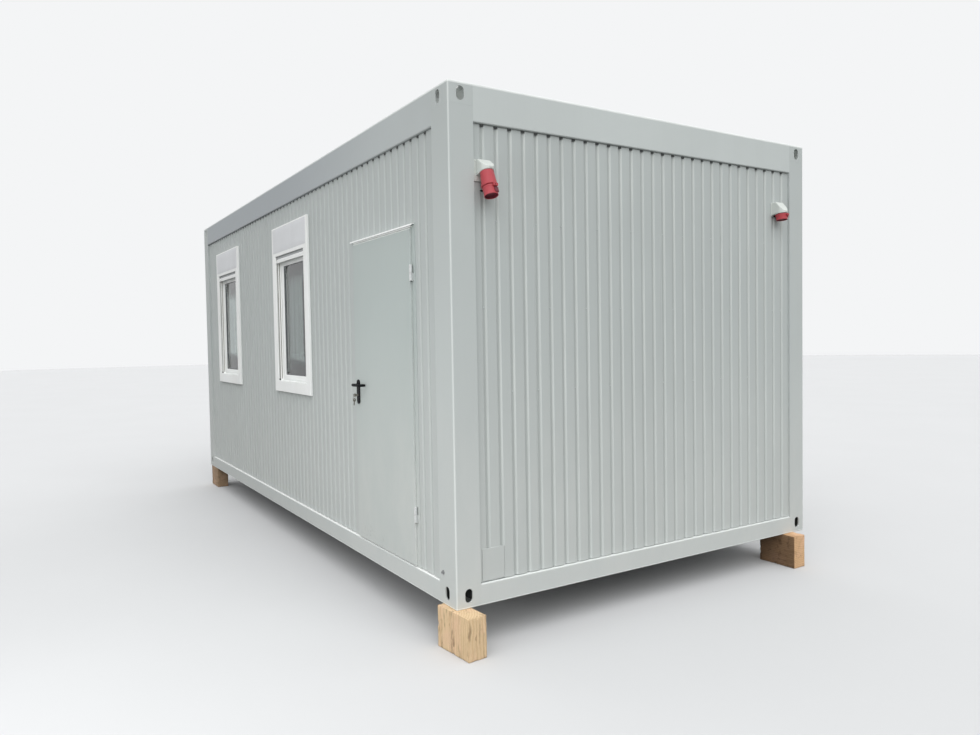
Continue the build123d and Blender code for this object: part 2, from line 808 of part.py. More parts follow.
# Lowest slat of each rolled shutter, with the curtain that leads up into the box
slat_centre = (guide_near + guide_far) / 2
slat_bottom = reveal[2] - slat_below_reveal
slat_limits = (curtain_half, slat_bottom, slat_bottom + slat_height)
curtain_limits = (curtain_half, slat_bottom + slat_height, curtain_top)
with BuildPart() as shutter_slats:
    extrude(window_outline(slat_centre + slat_thickness / 2, slat_limits), amount=slat_thickness)
    extrude(window_outline(slat_centre + curtain_thickness / 2, curtain_limits), amount=curtain_thickness)
save(shutter_slats, "shutter_slats")

# Hood with a round nose, cut square to the socket's axis below, with its plate against the wall
def socket_hood(place, height, tilt, reach, radius, plate_width, drop, rise, flat):
    slope = sin(radians(tilt)) / cos(radians(tilt))
    outer = radius + hood_rim
    plate_reach = hood_wall - skin_recess
    nose_height = height + outer * slope
    profile = [
        (-plate_reach, height + (plate_reach - reach) * slope),
        (-plate_reach, height + rise),
        (-flat, height + rise),
        (-reach - outer, nose_height + hood_nose),
        (-reach - outer, nose_height),
    ]
    with BuildPart() as hood:
        with BuildSketch(plan("right", steel_bottom + height - drop)):
            limits_rectangle(place - outer, place + outer, -reach, -plate_reach)
            with Locations((place, -reach)):
                Circle(outer)
        extrude(amount=drop + rise)
        with BuildSketch(section("right", place)):
            Polygon(*[(x, z + steel_bottom) for x, z in profile], align=None)
        extrude(amount=outer, both=True, mode=Mode.INTERSECT)
        with BuildSketch(elevation("right", skin_recess)):
            low, high = place - plate_width / 2, place + plate_width / 2
            limits_rectangle(low, high, steel_bottom + height - drop, steel_bottom + height + rise)
        extrude(amount=hood_wall)
    return hood


# Round body turned about its tilted axis, from pairs of radius and distance below the hood
def socket_body(place, height, tilt, reach, stations):
    lean = radians(tilt)
    axis = Vector(sin(lean), 0, -cos(lean))
    origin = Vector(face_x + reach, place - face_y, steel_bottom + height)
    outline = [(0, stations[0][1])] + stations + [(0, stations[-1][1])]
    with BuildPart() as body:
        with BuildSketch(Plane(origin=origin, x_dir=(0, 1, 0), z_dir=(-cos(lean), 0, -sin(lean)))):
            Polygon(*outline, align=None)
        revolve(axis=Axis(origin, axis))
    return body


inlet_place = inlet_from_front
inlet_height = cabin_height - inlet_below_roof
inlet_hood = socket_hood(
    inlet_place,
    inlet_height,
    inlet_tilt,
    inlet_reach,
    inlet_radius,
    inlet_plate_width,
    inlet_plate_drop,
    inlet_plate_rise,
    inlet_hood_flat,
)
save(inlet_hood, "power_inlet_hood")
collar_radius = inlet_radius + inlet_taper + inlet_collar_step
collar_end = inlet_sleeve + inlet_collar
neck_end = collar_end + inlet_neck
inlet_stations = [
    (inlet_radius, 0),
    (inlet_radius + inlet_taper, inlet_sleeve),
    (collar_radius, inlet_sleeve),
    (collar_radius, collar_end),
    (inlet_radius, collar_end),
    (inlet_radius, neck_end),
    (inlet_lid_radius, neck_end),
    (inlet_lid_radius - inlet_lid_taper, neck_end + inlet_lid),
]
save(socket_body(inlet_place, inlet_height, inlet_tilt, inlet_reach, inlet_stations), "power_inlet_body")
outlet_place = width - outlet_from_back
outlet_height = cabin_height - outlet_below_roof
outlet_hood = socket_hood(
    outlet_place,
    outlet_height,
    outlet_tilt,
    outlet_reach,
    outlet_radius,
    outlet_plate_width,
    outlet_plate_drop,
    outlet_plate_rise,
    outlet_hood_flat,
)
save(outlet_hood, "power_outlet_hood")
outlet_stations = [
    (outlet_radius, 0),
    (outlet_radius, outlet_seam),
    (outlet_lid_radius, outlet_seam),
    (outlet_lid_radius - outlet_lid_taper, outlet_seam + outlet_lid),
]
outlet_body = socket_body(outlet_place, outlet_height, outlet_tilt, outlet_reach, outlet_stations)
save(outlet_body, "power_outlet_body")

# Flat blanking plate low on the right end wall
with BuildPart() as blanking_plate:
    with BuildSketch(elevation("right", skin_recess)):
        blank_level = steel_bottom + blank_bottom
        limits_rectangle(
            blank_place - blank_width / 2, blank_place + blank_width / 2, blank_level, blank_level + blank_height
        )
    extrude(amount=blank_thickness)
save(blanking_plate, "end_wall_blanking_plate")
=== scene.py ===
import math
from functools import partial

import bmesh
import bpy
import numpy as np
from mathutils import Matrix, Vector


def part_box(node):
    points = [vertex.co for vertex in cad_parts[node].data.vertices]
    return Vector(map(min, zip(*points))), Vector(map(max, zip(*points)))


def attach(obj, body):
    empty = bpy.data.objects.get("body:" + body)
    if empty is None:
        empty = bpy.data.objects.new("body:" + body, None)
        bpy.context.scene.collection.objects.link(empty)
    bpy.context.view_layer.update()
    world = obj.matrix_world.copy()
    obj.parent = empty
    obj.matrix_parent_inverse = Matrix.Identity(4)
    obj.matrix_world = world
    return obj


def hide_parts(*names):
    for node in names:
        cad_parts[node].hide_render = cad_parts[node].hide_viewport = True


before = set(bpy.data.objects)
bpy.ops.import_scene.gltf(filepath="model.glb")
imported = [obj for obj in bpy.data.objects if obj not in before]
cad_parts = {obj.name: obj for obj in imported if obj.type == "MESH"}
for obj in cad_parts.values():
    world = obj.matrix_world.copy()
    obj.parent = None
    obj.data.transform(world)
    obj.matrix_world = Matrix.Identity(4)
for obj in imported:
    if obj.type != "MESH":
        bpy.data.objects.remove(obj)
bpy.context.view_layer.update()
print("frame loaded,", len(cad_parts), "nodes")

# everything is in metres, in the frame of the solids: door and windows face -Y, the sockets +X
cabin = {
    "faceX": 3.029,
    "faceY": 1.4945,
    "steelBottom": 0.232,
    "ledge": 0.352,
    "wallTop": 2.872,
    "roofTop": 3.077,
    "cornerAlong": 0.190,
    "cornerAcross": 0.156,
    "skinRecess": 0.015,
}
alongX, alongY, upward = np.eye(3)
sides = ("front", "right", "back", "left")


# axes of one side: where it starts, along it, up, and out of the wall
def wallAxes(side):
    start, along = {
        "front": ((-1, -1, 0), alongX),
        "right": ((1, -1, 0), alongY),
        "back": ((1, 1, 0), -alongX),
        "left": ((-1, 1, 0), -alongY),
    }[side]
    return start * np.array([cabin["faceX"], cabin["faceY"], 0]), along, upward, np.cross(along, upward)


# length of one side and the width of the corner posts on it
def sideMeasures(side):
    if side in ("front", "back"):
        return 2 * cabin["faceX"], cabin["cornerAlong"]
    return 2 * cabin["faceY"], cabin["cornerAcross"]


# points given along three axes, set from their origin
def inAxes(points, axes):
    origin, first, second, third = axes
    return origin + points[..., 0:1] * first + points[..., 1:2] * second + points[..., 2:3] * third


# the same axes started from a place given in them
def shifted(axes, *place):
    return inAxes(np.array(place, float), axes), *axes[1:]


def moved(part, axes):
    return inAxes(part[0], axes), part[1]


# volume by the sum of the triangles' corner products, and turned round where it is negative
def outwardFaces(vertices, quads, triangles):
    halves = np.concatenate([quads[:, [0, 1, 2]], quads[:, [0, 2, 3]], triangles])
    a, b, c = (vertices[halves[:, corner]] - vertices.mean(0) for corner in range(3))
    if np.einsum("ij,ij->i", a, np.cross(b, c)).sum() < 0:
        quads, triangles = quads[:, ::-1], triangles[:, ::-1]
    return vertices, quads.tolist() + triangles.tolist()


# rings of points joined one to the next, either back to the first ring or closed by a fan at each end
def loft(rings, loop=False):
    count, around = rings.shape[:2]
    ring, place = np.arange(count if loop else count - 1)[:, None], np.arange(around)
    following, nextRing = (place + 1) % around, (ring + 1) % count
    corners = [ring * around + place, ring * around + following]
    corners += [nextRing * around + following, nextRing * around + place]
    quads = np.stack(corners, -1).reshape(-1, 4)
    vertices, triangles = rings.reshape(-1, 3), np.zeros((0, 3), int)
    if not loop:
        vertices = np.vstack([vertices, rings[0].mean(0), rings[-1].mean(0)])
        last, middle = (count - 1) * around, np.full(around, count * around)
        first = np.stack([following, place, middle], -1)
        triangles = np.vstack([first, np.stack([last + place, last + following, middle + 1], -1)])
    return outwardFaces(vertices, quads, triangles)


# corners of a line replaced by parabolic arcs: (1-s)^2 before + 2s(1-s) corner + s^2 after
def rounded(line, radius, steps=5, closed=True):
    line = np.asarray(line, float)
    before, after = np.roll(line, 1, 0) - line, np.roll(line, -1, 0) - line
    lengthBefore, lengthAfter = (np.linalg.norm(way, axis=1, keepdims=True) for way in (before, after))
    reach = np.minimum(radius, 0.49 * np.minimum(lengthBefore, lengthAfter))
    start, end = line + before / lengthBefore * reach, line + after / lengthAfter * reach
    s = np.linspace(0, 1, steps)[None, :, None]
    arcs = (1 - s) ** 2 * start[:, None] + 2 * s * (1 - s) * line[:, None] + s**2 * end[:, None]
    if closed:
        return arcs.reshape(-1, line.shape[1])
    return np.vstack([line[:1], arcs[1:-1].reshape(-1, line.shape[1]), line[-1:]])


# distance travelled along a line at each of its points: the running sum of the steps' lengths
def travelledAlong(line):
    return np.concatenate([[0], np.cumsum(np.linalg.norm(np.diff(line, axis=0), axis=1))])


# points of a line at the wanted distances along it, straight between its own points
def placedAlong(line, travelled, wanted):
    return np.stack([np.interp(wanted, travelled, coordinate) for coordinate in line.T], -1)


# the same closed line with its points spread evenly along it
def evenly(line, count):
    closed = np.vstack([line, line[:1]])
    travelled = travelledAlong(closed)
    return placedAlong(closed, travelled, np.linspace(0, travelled[-1], count, endpoint=False))


# its four corners, anticlockwise
def rectangle(lowX, highX, lowY, highY):
    return np.array([(lowX, lowY), (highX, lowY), (highX, highY), (lowX, highY)], float)


# points at centre + radius (cos angle, sin angle)
def circle(radius, count=32, centre=(0, 0)):
    angle = np.linspace(0, 2 * np.pi, count, endpoint=False)
    return np.stack([centre[0] + radius * np.cos(angle), centre[1] + radius * np.sin(angle)], -1)


# Outline lifted from a lower to an upper face with round rims. Rows run from near the middle of the
# lower face to its rim, up the side, and back in: inset = edge (1 - sin t), lift = edge (1 - cos t)
def pillow(outline, low, high, edge, rimSteps=4, sideSteps=1, faceSteps=2):
    following = np.roll(outline, -1, 0)
    outwards = (following - np.roll(outline, 1, 0))[:, ::-1] * (1, -1)
    outwards /= np.linalg.norm(outwards, axis=1, keepdims=True)
    outwards *= np.sign(np.cross(outline, following).sum())
    t = np.linspace(0, np.pi / 2, rimSteps + 1)
    side = np.linspace(0, 1, sideSteps + 1)[1:-1]
    inset = np.concatenate([np.full(faceSteps, edge), edge * (1 - np.sin(t))])
    inset = np.concatenate([inset, 0 * side, inset[::-1]])
    lift = np.concatenate([np.zeros(faceSteps), edge * (1 - np.cos(t))])
    shrink = np.linspace(0.9, 0, faceSteps, endpoint=False)
    shrink = np.concatenate([shrink, np.zeros(2 * len(t) + len(side)), shrink[::-1]])
    middle = outline.mean(0)
    flat = middle + (outline - outwards * inset[:, None, None] - middle) * (1 - shrink[:, None, None])
    lower, upper = (level(flat) if callable(level) else np.full(flat.shape[:2], level) for level in (low, high))
    span = upper - lower
    share = np.concatenate([0 * lift, (edge + side * (span.mean() - 2 * edge)) / span.mean(), 0 * lift + 1])
    lift = np.concatenate([lift, 0 * side, -lift[::-1]])
    return np.dstack([flat, lower + share[:, None] * span + lift[:, None]])


# rectangle with round corners as a pad with soft rims between two levels
def pad(box, corner, count, low, high, edge, rimSteps):
    return loft(pillow(evenly(rounded(rectangle(*box), *corner), count), low, high, edge, rimSteps))


# stations of radius and distance in millimetres, rounded by a radius in a number of steps, turned
# about the third axis: (radius cos angle, radius sin angle, distance), each radius times its swell
def lathed(stations, count, corner=None, swell=None):
    stations = np.array(rounded(stations, *corner, False) if corner else stations) / 1000
    radius, distance = stations[:, 0:1], stations[:, 1:2]
    angle = np.linspace(0, 2 * np.pi, count, endpoint=False)
    radius = radius * (swell(angle, distance) if swell else 1)
    return loft(np.dstack(np.broadcast_arrays(radius * np.cos(angle), radius * np.sin(angle), distance)))


# a profile carried along a path: path + first * side + second * up, with the side across the path
def carried(profile, path, up, loop=False):
    path = np.asarray(path, float)
    ahead = np.roll(path, -1, 0) - np.roll(path, 1, 0) if loop else np.gradient(path, axis=0)
    ahead /= np.linalg.norm(ahead, axis=1, keepdims=True)
    side = np.cross(ahead, up)
    side /= np.linalg.norm(side, axis=1, keepdims=True)
    top = np.cross(side, ahead)
    return loft(path[:, None] + profile[..., 0:1] * side[:, None] + profile[..., 1:2] * top[:, None], loop)


# a flat profile pushed straight from one distance to another along the third axis
def pushed(profile, low, high):
    return loft(np.stack([np.column_stack([profile, np.full(len(profile), level)]) for level in (low, high)]))


# Profile of share and depth run round a rectangle: each point draws the rectangle shrunk by its share
# of the side, bottom and top widths
def rectangleLoop(centre, box, grown, widths, profile):
    share, depth = np.asarray(profile, float).T
    half, low, high = box[0] + grown, box[1] - grown, box[2] + grown
    along = centre + np.array([[-1], [1], [1], [-1]]) * (half - share * widths[0])
    bottom, top = low + share * widths[1], high - share * widths[2]
    level = np.stack([bottom, bottom, top, top])
    return loft(np.dstack([along, level, np.broadcast_to(-depth, along.shape)]), True)


# thin sheet on a line of place and depth, carried from one level to another, its ends closed by quads
def foldedSheet(line, thickness, low, high):
    ring = np.vstack([line, (line - (0, thickness))[::-1]])
    around = len(ring)
    ends = [np.column_stack([ring[:, 0], np.full(around, level), ring[:, 1]]) for level in (low, high)]
    place, step = np.arange(around), np.arange(len(line) - 1)
    following = (place + 1) % around
    quads = np.stack([place, following, following + around, place + around], -1)
    cap = np.stack([step + 1, step, around - 1 - step, around - 2 - step], -1)
    quads = np.vstack([quads, cap, cap[:, ::-1] + around])
    return outwardFaces(np.vstack(ends), quads, np.zeros((0, 3), int))


# smooth unevenness: the sum of sine waves in seeded directions, each seed always the same
def ripple(points, seed, size, waves=10):
    source = np.random.default_rng(seed)
    direction = source.normal(size=(waves, 3)) / size
    phase = source.uniform(0, 2 * np.pi, waves)
    return np.sin(points @ direction.T + phase).sum(-1) / np.sqrt(waves)


# mesh as an object at the origin, smooth up to the given angle
def addPiece(name, mesh, look, angle, node, body):
    mesh.materials.append(looks[look])
    mesh.polygons.foreach_set("use_smooth", np.ones(len(mesh.polygons), bool))
    mesh.set_sharp_from_angle(angle=math.radians(angle))
    piece = bpy.data.objects.new(name, mesh)
    bpy.context.scene.collection.objects.link(piece)
    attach(piece, body)
    if node:
        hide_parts(node)
    return piece


# parts joined into one mesh, in the given axes
def makePiece(name, parts, look, angle, node=None, axes=None, body="cabin", layers=None):
    vertices = np.concatenate([part[0] for part in parts])
    starts = np.cumsum([0] + [len(part[0]) for part in parts[:-1]]).tolist()
    faces = [[corner + start for corner in face] for start, part in zip(starts, parts) for face in part[1]]
    mesh = bpy.data.meshes.new(name)
    mesh.from_pydata((inAxes(vertices, axes) if axes else vertices).tolist(), [], faces)
    mesh.update()
    for label, values in (layers or {}).items():
        layer = mesh.attributes.new(label, "FLOAT", "POINT")
        layer.data.foreach_set("value", np.asarray(values, np.float32))
    addPiece(name, mesh, look, angle, node, body)


# a merged copy of a solid with its sharp edges eased by a bevel
def easedCopy(name, node, width, look, segments=3, body="cabin"):
    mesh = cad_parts[node].data.copy()
    mesh.name = name
    work = bmesh.new()
    work.from_mesh(mesh)
    bmesh.ops.remove_doubles(work, verts=work.verts, dist=0.00002)
    bmesh.ops.dissolve_limit(work, angle_limit=math.radians(0.5), verts=work.verts, edges=work.edges)
    work.to_mesh(mesh)
    work.free()
    mesh.materials.clear()
    piece = addPiece(name, mesh, look, 35, node, body)
    bevel = piece.modifiers.new("easedEdges", "BEVEL")
    bevel.width, bevel.segments = width, segments
    bevel.limit_method, bevel.angle_limit = "ANGLE", math.radians(35)
    bevel.use_clamp_overlap = True


# a colour as it shows on the screen, 0 to 255, turned into the linear value that nodes take
def tone(red, green, blue):
    share = np.array([red, green, blue]) / 255
    linear = np.where(share <= 0.04045, share / 12.92, ((share + 0.055) / 1.055) ** 2.4)
    return (*linear.tolist(), 1.0)


# values set on a node's inputs, or linked to them where they are sockets
def give(inputs, values):
    for key, value in values.items():
        if isinstance(value, bpy.types.NodeSocket):
            value.id_data.links.new(value, inputs[key])
        else:
            inputs[key].default_value = value


# a new shader node, in the given tree or that of the sockets given to it; what comes back is its outputs
def add(kind, inputs=None, tree=None, **settings):
    sockets = [value for value in (inputs or {}).values() if isinstance(value, bpy.types.NodeSocket)]
    node = (tree or sockets[0].id_data).nodes.new("ShaderNode" + kind)
    for key, value in settings.items():
        setattr(node, key, value)
    give(node.inputs, inputs or {})
    return node.outputs


# one step on two values, each a number or a socket
def calc(operation, first, second=0.0, clamp=False):
    return add("Math", {0: first, 1: second}, operation=operation, use_clamp=clamp)[0]


plus, minus, times = (partial(calc, operation) for operation in ("ADD", "SUBTRACT", "MULTIPLY"))
masked = partial(times, clamp=True)  # product kept between 0 and 1


# two colours joined by a factor
def mixColour(factor, first, second, blend="MIX"):
    return add("Mix", {0: factor, 6: first, 7: second}, data_type="RGBA", blend_type=blend)[2]


# colour times one grey
def shaded(colour, shade):
    return mixColour(1.0, colour, add("CombineColor", {0: shade, 1: shade, 2: shade})[0], "MULTIPLY")


# value between two limits carried over to two others along a smooth step
def ranged(value, low, high, newLow=0.0, newHigh=1.0):
    limits = dict(enumerate((value, low, high, newLow, newHigh)))
    return add("MapRange", limits, interpolation_type="SMOOTHSTEP")[0]


# noise pattern, drawn finer along an axis where its stretch is larger
def noise(vector, scale, detail=3.0, roughness=0.55, stretch=None):
    if stretch:
        vector = add("Mapping", {"Scale": stretch, "Vector": vector})[0]
    return add("TexNoise", {"Scale": scale, "Detail": detail, "Roughness": roughness, "Vector": vector})[0]


# share of rays that the viewer sees straight, mirrored or through glass
def seenRays(tree):
    path = add("LightPath", tree=tree)
    return plus(plus(path["Is Camera Ray"], path["Is Glossy Ray"], True), path["Is Transmission Ray"], True)


groups = {}


def newSocket(tree, way, name, kind):
    return tree.interface.new_socket(name=name, in_out=way, socket_type="NodeSocket" + kind)


# shader group from a function that joins its inputs to its outputs; four numbers stand for a colour
def makeGroup(build, inputs, outputs=("Color", "Roughness", "Height")):
    tree = groups[build.__name__] = bpy.data.node_groups.new(build.__name__, "ShaderNodeTree")
    newSocket(tree, "INPUT", "Vector", "Vector")
    for name, value in inputs.items():
        newSocket(tree, "INPUT", name, "Color" if isinstance(value, tuple) else "Float").default_value = value
    for name in outputs:
        newSocket(tree, "OUTPUT", name, "Color" if name == "Color" else "Float")
    given, out = tree.nodes.new("NodeGroupInput").outputs, tree.nodes.new("NodeGroupOutput").inputs
    give(out, dict(zip(outputs, build(given["Vector"], given))))


# sprayed paint: slow patches, run-off streaks down the face, a pale film low down that is partly dust and
# partly painted light, painted highlights on the folds and the cabin's upright corners, painted shade in the
# grooves, painted light and shade inside the corner castings, painted shade towards the far end, and an
# orange-peel skin
def sprayedPaint(vector, given):
    place = add("SeparateXYZ", {"Vector": vector})
    beyond, across = calc("ABSOLUTE", place["X"]), calc("ABSOLUTE", place["Y"])
    patches = noise(vector, 0.9, 4)
    broad = ranged(noise(vector, 1, 4, 0.6, (6, 6, 0.30)), 0.42, 0.72)
    fine = ranged(noise(vector, 1, 3, 0.6, (38, 38, 0.8)), 0.45, 0.7)
    streaks = masked(plus(broad, times(fine, 0.6)), given["Streak Strength"])
    colour = mixColour(streaks, given["Paint"], given["Streak"])
    # painted shade: darker towards the far end of the long side
    far = ranged(place["X"], 0.0, cabin["faceX"], 1.0, 0.0)
    colour = mixColour(masked(far, given["Far Shade Strength"]), colour, given["Far Shade Tone"])
    colour = shaded(colour, ranged(patches, 0.3, 0.7, 0.975, 1.02))
    # paler towards the bottom, up to 1.7 m above its level: partly dust, partly painted light from the ground
    low = ranged(minus(place["Z"], given["Dust Level"]), 0.0, 1.7, 1.0, 0.0)
    film = ranged(noise(vector, 5, 6, 0.65, (1, 1, 0.5)), 0.30, 0.75, 0.6, 1.0)
    splashes = ranged(noise(vector, 120, 3), 0.62, 0.70, 0.0, 0.25)
    dustAndLowLight = masked(times(low, plus(film, splashes)), given["Dust Strength"])
    colour = mixColour(dustAndLowLight, colour, given["Dust And Low Light"])
    highlightBreaks = ranged(noise(vector, 1, 3, 0.6, (3, 3, 1.6)), 0.25, 0.75, 0.65, 1.0)
    # painted shade deep in the grooves
    colour = mixColour(masked(given["Groove"], 0.55), colour, given["Groove Shade"])
    # painted highlight on the grooves' sides, broken up by the same noise as the corners'
    colour = mixColour(masked(given["Fold"], highlightBreaks), colour, given["Fold Highlight"])
    # painted highlight down the cabin's upright corners, where the rounded edge catches the light
    corner = cabin["faceX"] + cabin["faceY"]
    edge = ranged(plus(beyond, across), corner - 0.0095, corner - 0.0050)
    edge = masked(times(edge, highlightBreaks), given["Edge Highlight Strength"])
    colour = mixColour(edge, colour, given["Edge Highlight"])
    # painted light and shade inside the corner castings, in the tone each material gives
    inEnd, inSide = (
        ranged(distance, face - 0.012, face - 0.006, 1.0, 0.0)
        for distance, face in ((beyond, cabin["faceX"]), (across, cabin["faceY"]))
    )
    hollow = masked(times(inEnd, inSide), given["Hollow Light And Shade Strength"])
    colour = mixColour(hollow, colour, given["Hollow Light And Shade Tone"])
    peel, waves = noise(vector, 330, 2), noise(vector, 2.6, 2, 0.5, (1, 1, 0.6))
    rough = plus(given["Gloss Roughness"], times(minus(patches, 0.5), 0.16))
    rough = plus(rough, times(dustAndLowLight, 0.35), True)
    return colour, rough, plus(waves, times(peel, 0.035))


# band round one level: broken chips of rubbed paint and, as far as it is even, a band all along, which in a
# pale tone is a painted highlight
def rubbedBand(vector, given):
    level = add("SeparateXYZ", {"Vector": vector})["Z"]
    distance = calc("ABSOLUTE", minus(level, given["Level"]))
    band = minus(1.0, calc("DIVIDE", distance, given["Reach"]), True)
    chips = ranged(noise(vector, 42, 5, 0.7), 0.56, 0.64)
    where = ranged(noise(vector, 2.1, 2), 0.42, 0.6)
    broken = masked(times(band, chips), where)
    even = times(masked(band, 3.0), given["Evenness"])
    even = times(even, ranged(noise(vector, 6, 4), 0.25, 0.65, 0.75, 1.0))
    return (calc("MAXIMUM", broken, even),)


# moulded plastic: a fine grain, faint flow marks and a slow change of tone
def mouldedGrain(vector, given):
    grain = add("TexNoise", {"Detail": 2.0, "Vector": vector, "Scale": given["Grain Scale"]})[0]
    flow = noise(vector, 3.0, 5, 0.6, (1, 1, 0.45))
    film = masked(ranged(flow, 0.36, 0.72), given["Weathering"])
    colour = mixColour(film, given["Plastic"], given["Weathered"])
    colour = shaded(colour, ranged(grain, 0.2, 0.8, 0.975, 1.02))
    rough = plus(given["Satin Roughness"], times(film, 0.25), True)
    return colour, rough, plus(grain, times(flow, 0.5))


# sawn softwood: growth rings round the third axis of the vector, fibres along it, saw marks across it
def sawnWood(vector, given):
    bend = add("TexNoise", {"Scale": 5.0, "Detail": 2.0, "Vector": vector})[1]
    centred = add("VectorMath", {0: bend, 1: (0.5, 0.5, 0.5)}, operation="SUBTRACT")[0]
    small = add("VectorMath", {0: centred, "Scale": 0.03}, operation="SCALE")[0]
    bent = add("VectorMath", {0: vector, 1: small}, operation="ADD")[0]
    wave = {"Distortion": 1.2, "Detail": 3.0, "Detail Scale": 2.0, "Vector": bent, "Scale": given["Ring Scale"]}
    wave = add("TexWave", wave, wave_type="RINGS", rings_direction="Z")[1]
    rings = ranged(wave, 0.35, 0.95)
    fibres = noise(bent, 1, 4, 0.65, (330, 330, 9))
    flecks = ranged(noise(bent, 1, 2, 0.6, (210, 210, 14)), 0.63, 0.72)
    tint = noise(vector, 9, 3)
    colour = mixColour(times(rings, given["Ring Strength"]), given["Early Wood"], given["Late Wood"])
    colour = shaded(colour, ranged(fibres, 0.3, 0.75, 0.90, 1.06))
    colour = mixColour(times(flecks, 0.35), colour, given["Late Wood"])
    colour = mixColour(ranged(tint, 0.4, 0.72, 0.0, 0.30), colour, tone(232, 190, 166))
    patches = ranged(noise(vector, 24, 5, 0.7), 0.48, 0.72)
    smears = ranged(noise(bent, 1, 4, 0.7, (30, 30, 5)), 0.52, 0.70)
    stain = plus(times(patches, 0.10), times(given["Rim"], 0.26))
    stain = plus(stain, times(smears, given["Smear Strength"]), True)
    colour = mixColour(stain, colour, given["Stain"])
    splits = minus(noise(bent, 1, 1, 0.4, (34, 34, 1.2)), 0.56)
    splits = ranged(calc("ABSOLUTE", splits), 0.003, 0.011, 1.0, 0.0)
    splits = times(splits, ranged(tint, 0.42, 0.55, 0.15, 0.6))
    colour = mixColour(splits, colour, tone(104, 80, 56))
    # painted shade on the face of a lying block that looks in under the cabin
    shadedFace = times(given["Shaded Face"], ranged(patches, 0.0, 1.0, 0.72, 0.9))
    colour = mixColour(shadedFace, colour, tone(66, 46, 30))
    marks = noise(vector, 1, 2, 0.5, (6, 6, 240))
    height = plus(plus(times(rings, 0.35), fibres), times(marks, 0.4))
    return colour, ranged(fibres, 0.2, 0.8, 0.9, 0.72), height


# zinc sheet: spangles as cells of different greys under a dull film
def zincSpangle(vector, given):
    cells = add("TexVoronoi", {"Randomness": 1.0, "Vector": vector, "Scale": given["Spangle Scale"]})["Color"]
    cellTone = add("SeparateColor", {0: cells})[0]
    film = noise(vector, 2.2, 5, 0.6)
    mixed = plus(times(cellTone, 0.45), times(film, 0.7), True)
    colour = mixColour(mixed, given["Bright"], given["Dull"])
    puddles = ranged(noise(vector, 1.1, 4, 0.6), 0.5, 0.62)
    colour = mixColour(times(puddles, 0.35), colour, tone(138, 134, 124))
    return colour, ranged(mixed, 0.0, 1.0, 0.34, 0.62), plus(times(cellTone, 0.1), film)


# drawn or turned metal: hair lines along one axis and small dull patches
def drawnMetal(vector, given):
    lines = noise(vector, 1, 3, 0.6, (900, 900, 40))
    spots = ranged(noise(vector, 55, 4, 0.65), 0.45, 0.7)
    tarnish = masked(spots, given["Tarnish Strength"])
    rough = plus(given["Satin Roughness"], times(tarnish, 0.4))
    rough = plus(rough, times(lines, 0.1), True)
    return mixColour(tarnish, given["Metal"], given["Tarnish"]), rough, lines


# faced board or vinyl: a printed long grain with pale pores and worn patches
def boardPrint(vector, given):
    grain = noise(vector, 1, 5, 0.65, (70, 70, 2.2))
    pores = noise(vector, 1, 2, 0.5, (420, 420, 16))
    worn = ranged(noise(vector, 1.7, 5, 0.65), 0.5, 0.75)
    colour = mixColour(ranged(grain, 0.35, 0.7), given["Ground"], given["Grain"])
    colour = mixColour(masked(worn, given["Wear Strength"]), colour, given["Wear"])
    return colour, ranged(grain, 0.2, 0.8, 0.42, 0.58), plus(times(grain, 0.5), pores)


edgeHighlight = tone(226, 230, 228)  # painted highlight on the rolled edges
paintInputs = {
    "Paint": tone(180, 186, 184),
    "Streak": tone(160, 164, 160),
    "Streak Strength": 0.3,
    "Dust And Low Light": tone(203, 204, 201),
    "Dust Strength": 0.3,
    "Dust Level": cabin["steelBottom"],
    "Fold": 0.0,
    "Fold Highlight": tone(197, 202, 200),
    "Groove": 0.0,
    "Groove Shade": tone(158, 163, 161),
    "Edge Highlight Strength": 0.0,
    "Edge Highlight": edgeHighlight,
    "Hollow Light And Shade Strength": 0.0,
    "Hollow Light And Shade Tone": tone(40, 42, 42),
    "Far Shade Strength": 0.0,
    "Far Shade Tone": tone(162, 168, 172),
    "Gloss Roughness": 0.38,
}
plasticInputs = {
    "Plastic": tone(220, 222, 224),
    "Weathered": tone(208, 209, 206),
    "Weathering": 0.4,
    "Grain Scale": 900.0,
    "Satin Roughness": 0.35,
}
woodInputs = {
    "Early Wood": tone(226, 194, 148),
    "Late Wood": tone(184, 138, 92),
    "Stain": tone(150, 112, 78),
    "Rim": 0.0,
    "Shaded Face": 0.0,
    "Ring Scale": 34.0,
    "Ring Strength": 0.4,
    "Smear Strength": 0.4,
}
metalInputs = {
    "Metal": tone(190, 192, 194),
    "Tarnish": tone(120, 118, 112),
    "Tarnish Strength": 0.4,
    "Satin Roughness": 0.3,
}
boardInputs = {
    "Ground": tone(206, 206, 202),
    "Grain": tone(192, 191, 186),
    "Wear": tone(180, 176, 168),
    "Wear Strength": 0.2,
}
makeGroup(sprayedPaint, paintInputs)
makeGroup(rubbedBand, {"Level": cabin["steelBottom"], "Reach": 0.02, "Evenness": 0.0}, ("Mask",))
makeGroup(mouldedGrain, plasticInputs)
makeGroup(sawnWood, woodInputs)
makeGroup(zincSpangle, {"Bright": tone(186, 190, 192), "Dull": tone(150, 154, 156), "Spangle Scale": 60.0})
makeGroup(drawnMetal, metalInputs)
makeGroup(boardPrint, boardInputs)
print("shader groups made:", len(groups))

looks = {}


# new material: the shader's inputs and the object's own coordinates
def newLook(name):
    looks[name] = bpy.data.materials.new(name)
    looks[name].use_nodes = True
    tree = looks[name].node_tree
    return tree.nodes["Principled BSDF"].inputs, add("TexCoord", tree=tree)["Object"]


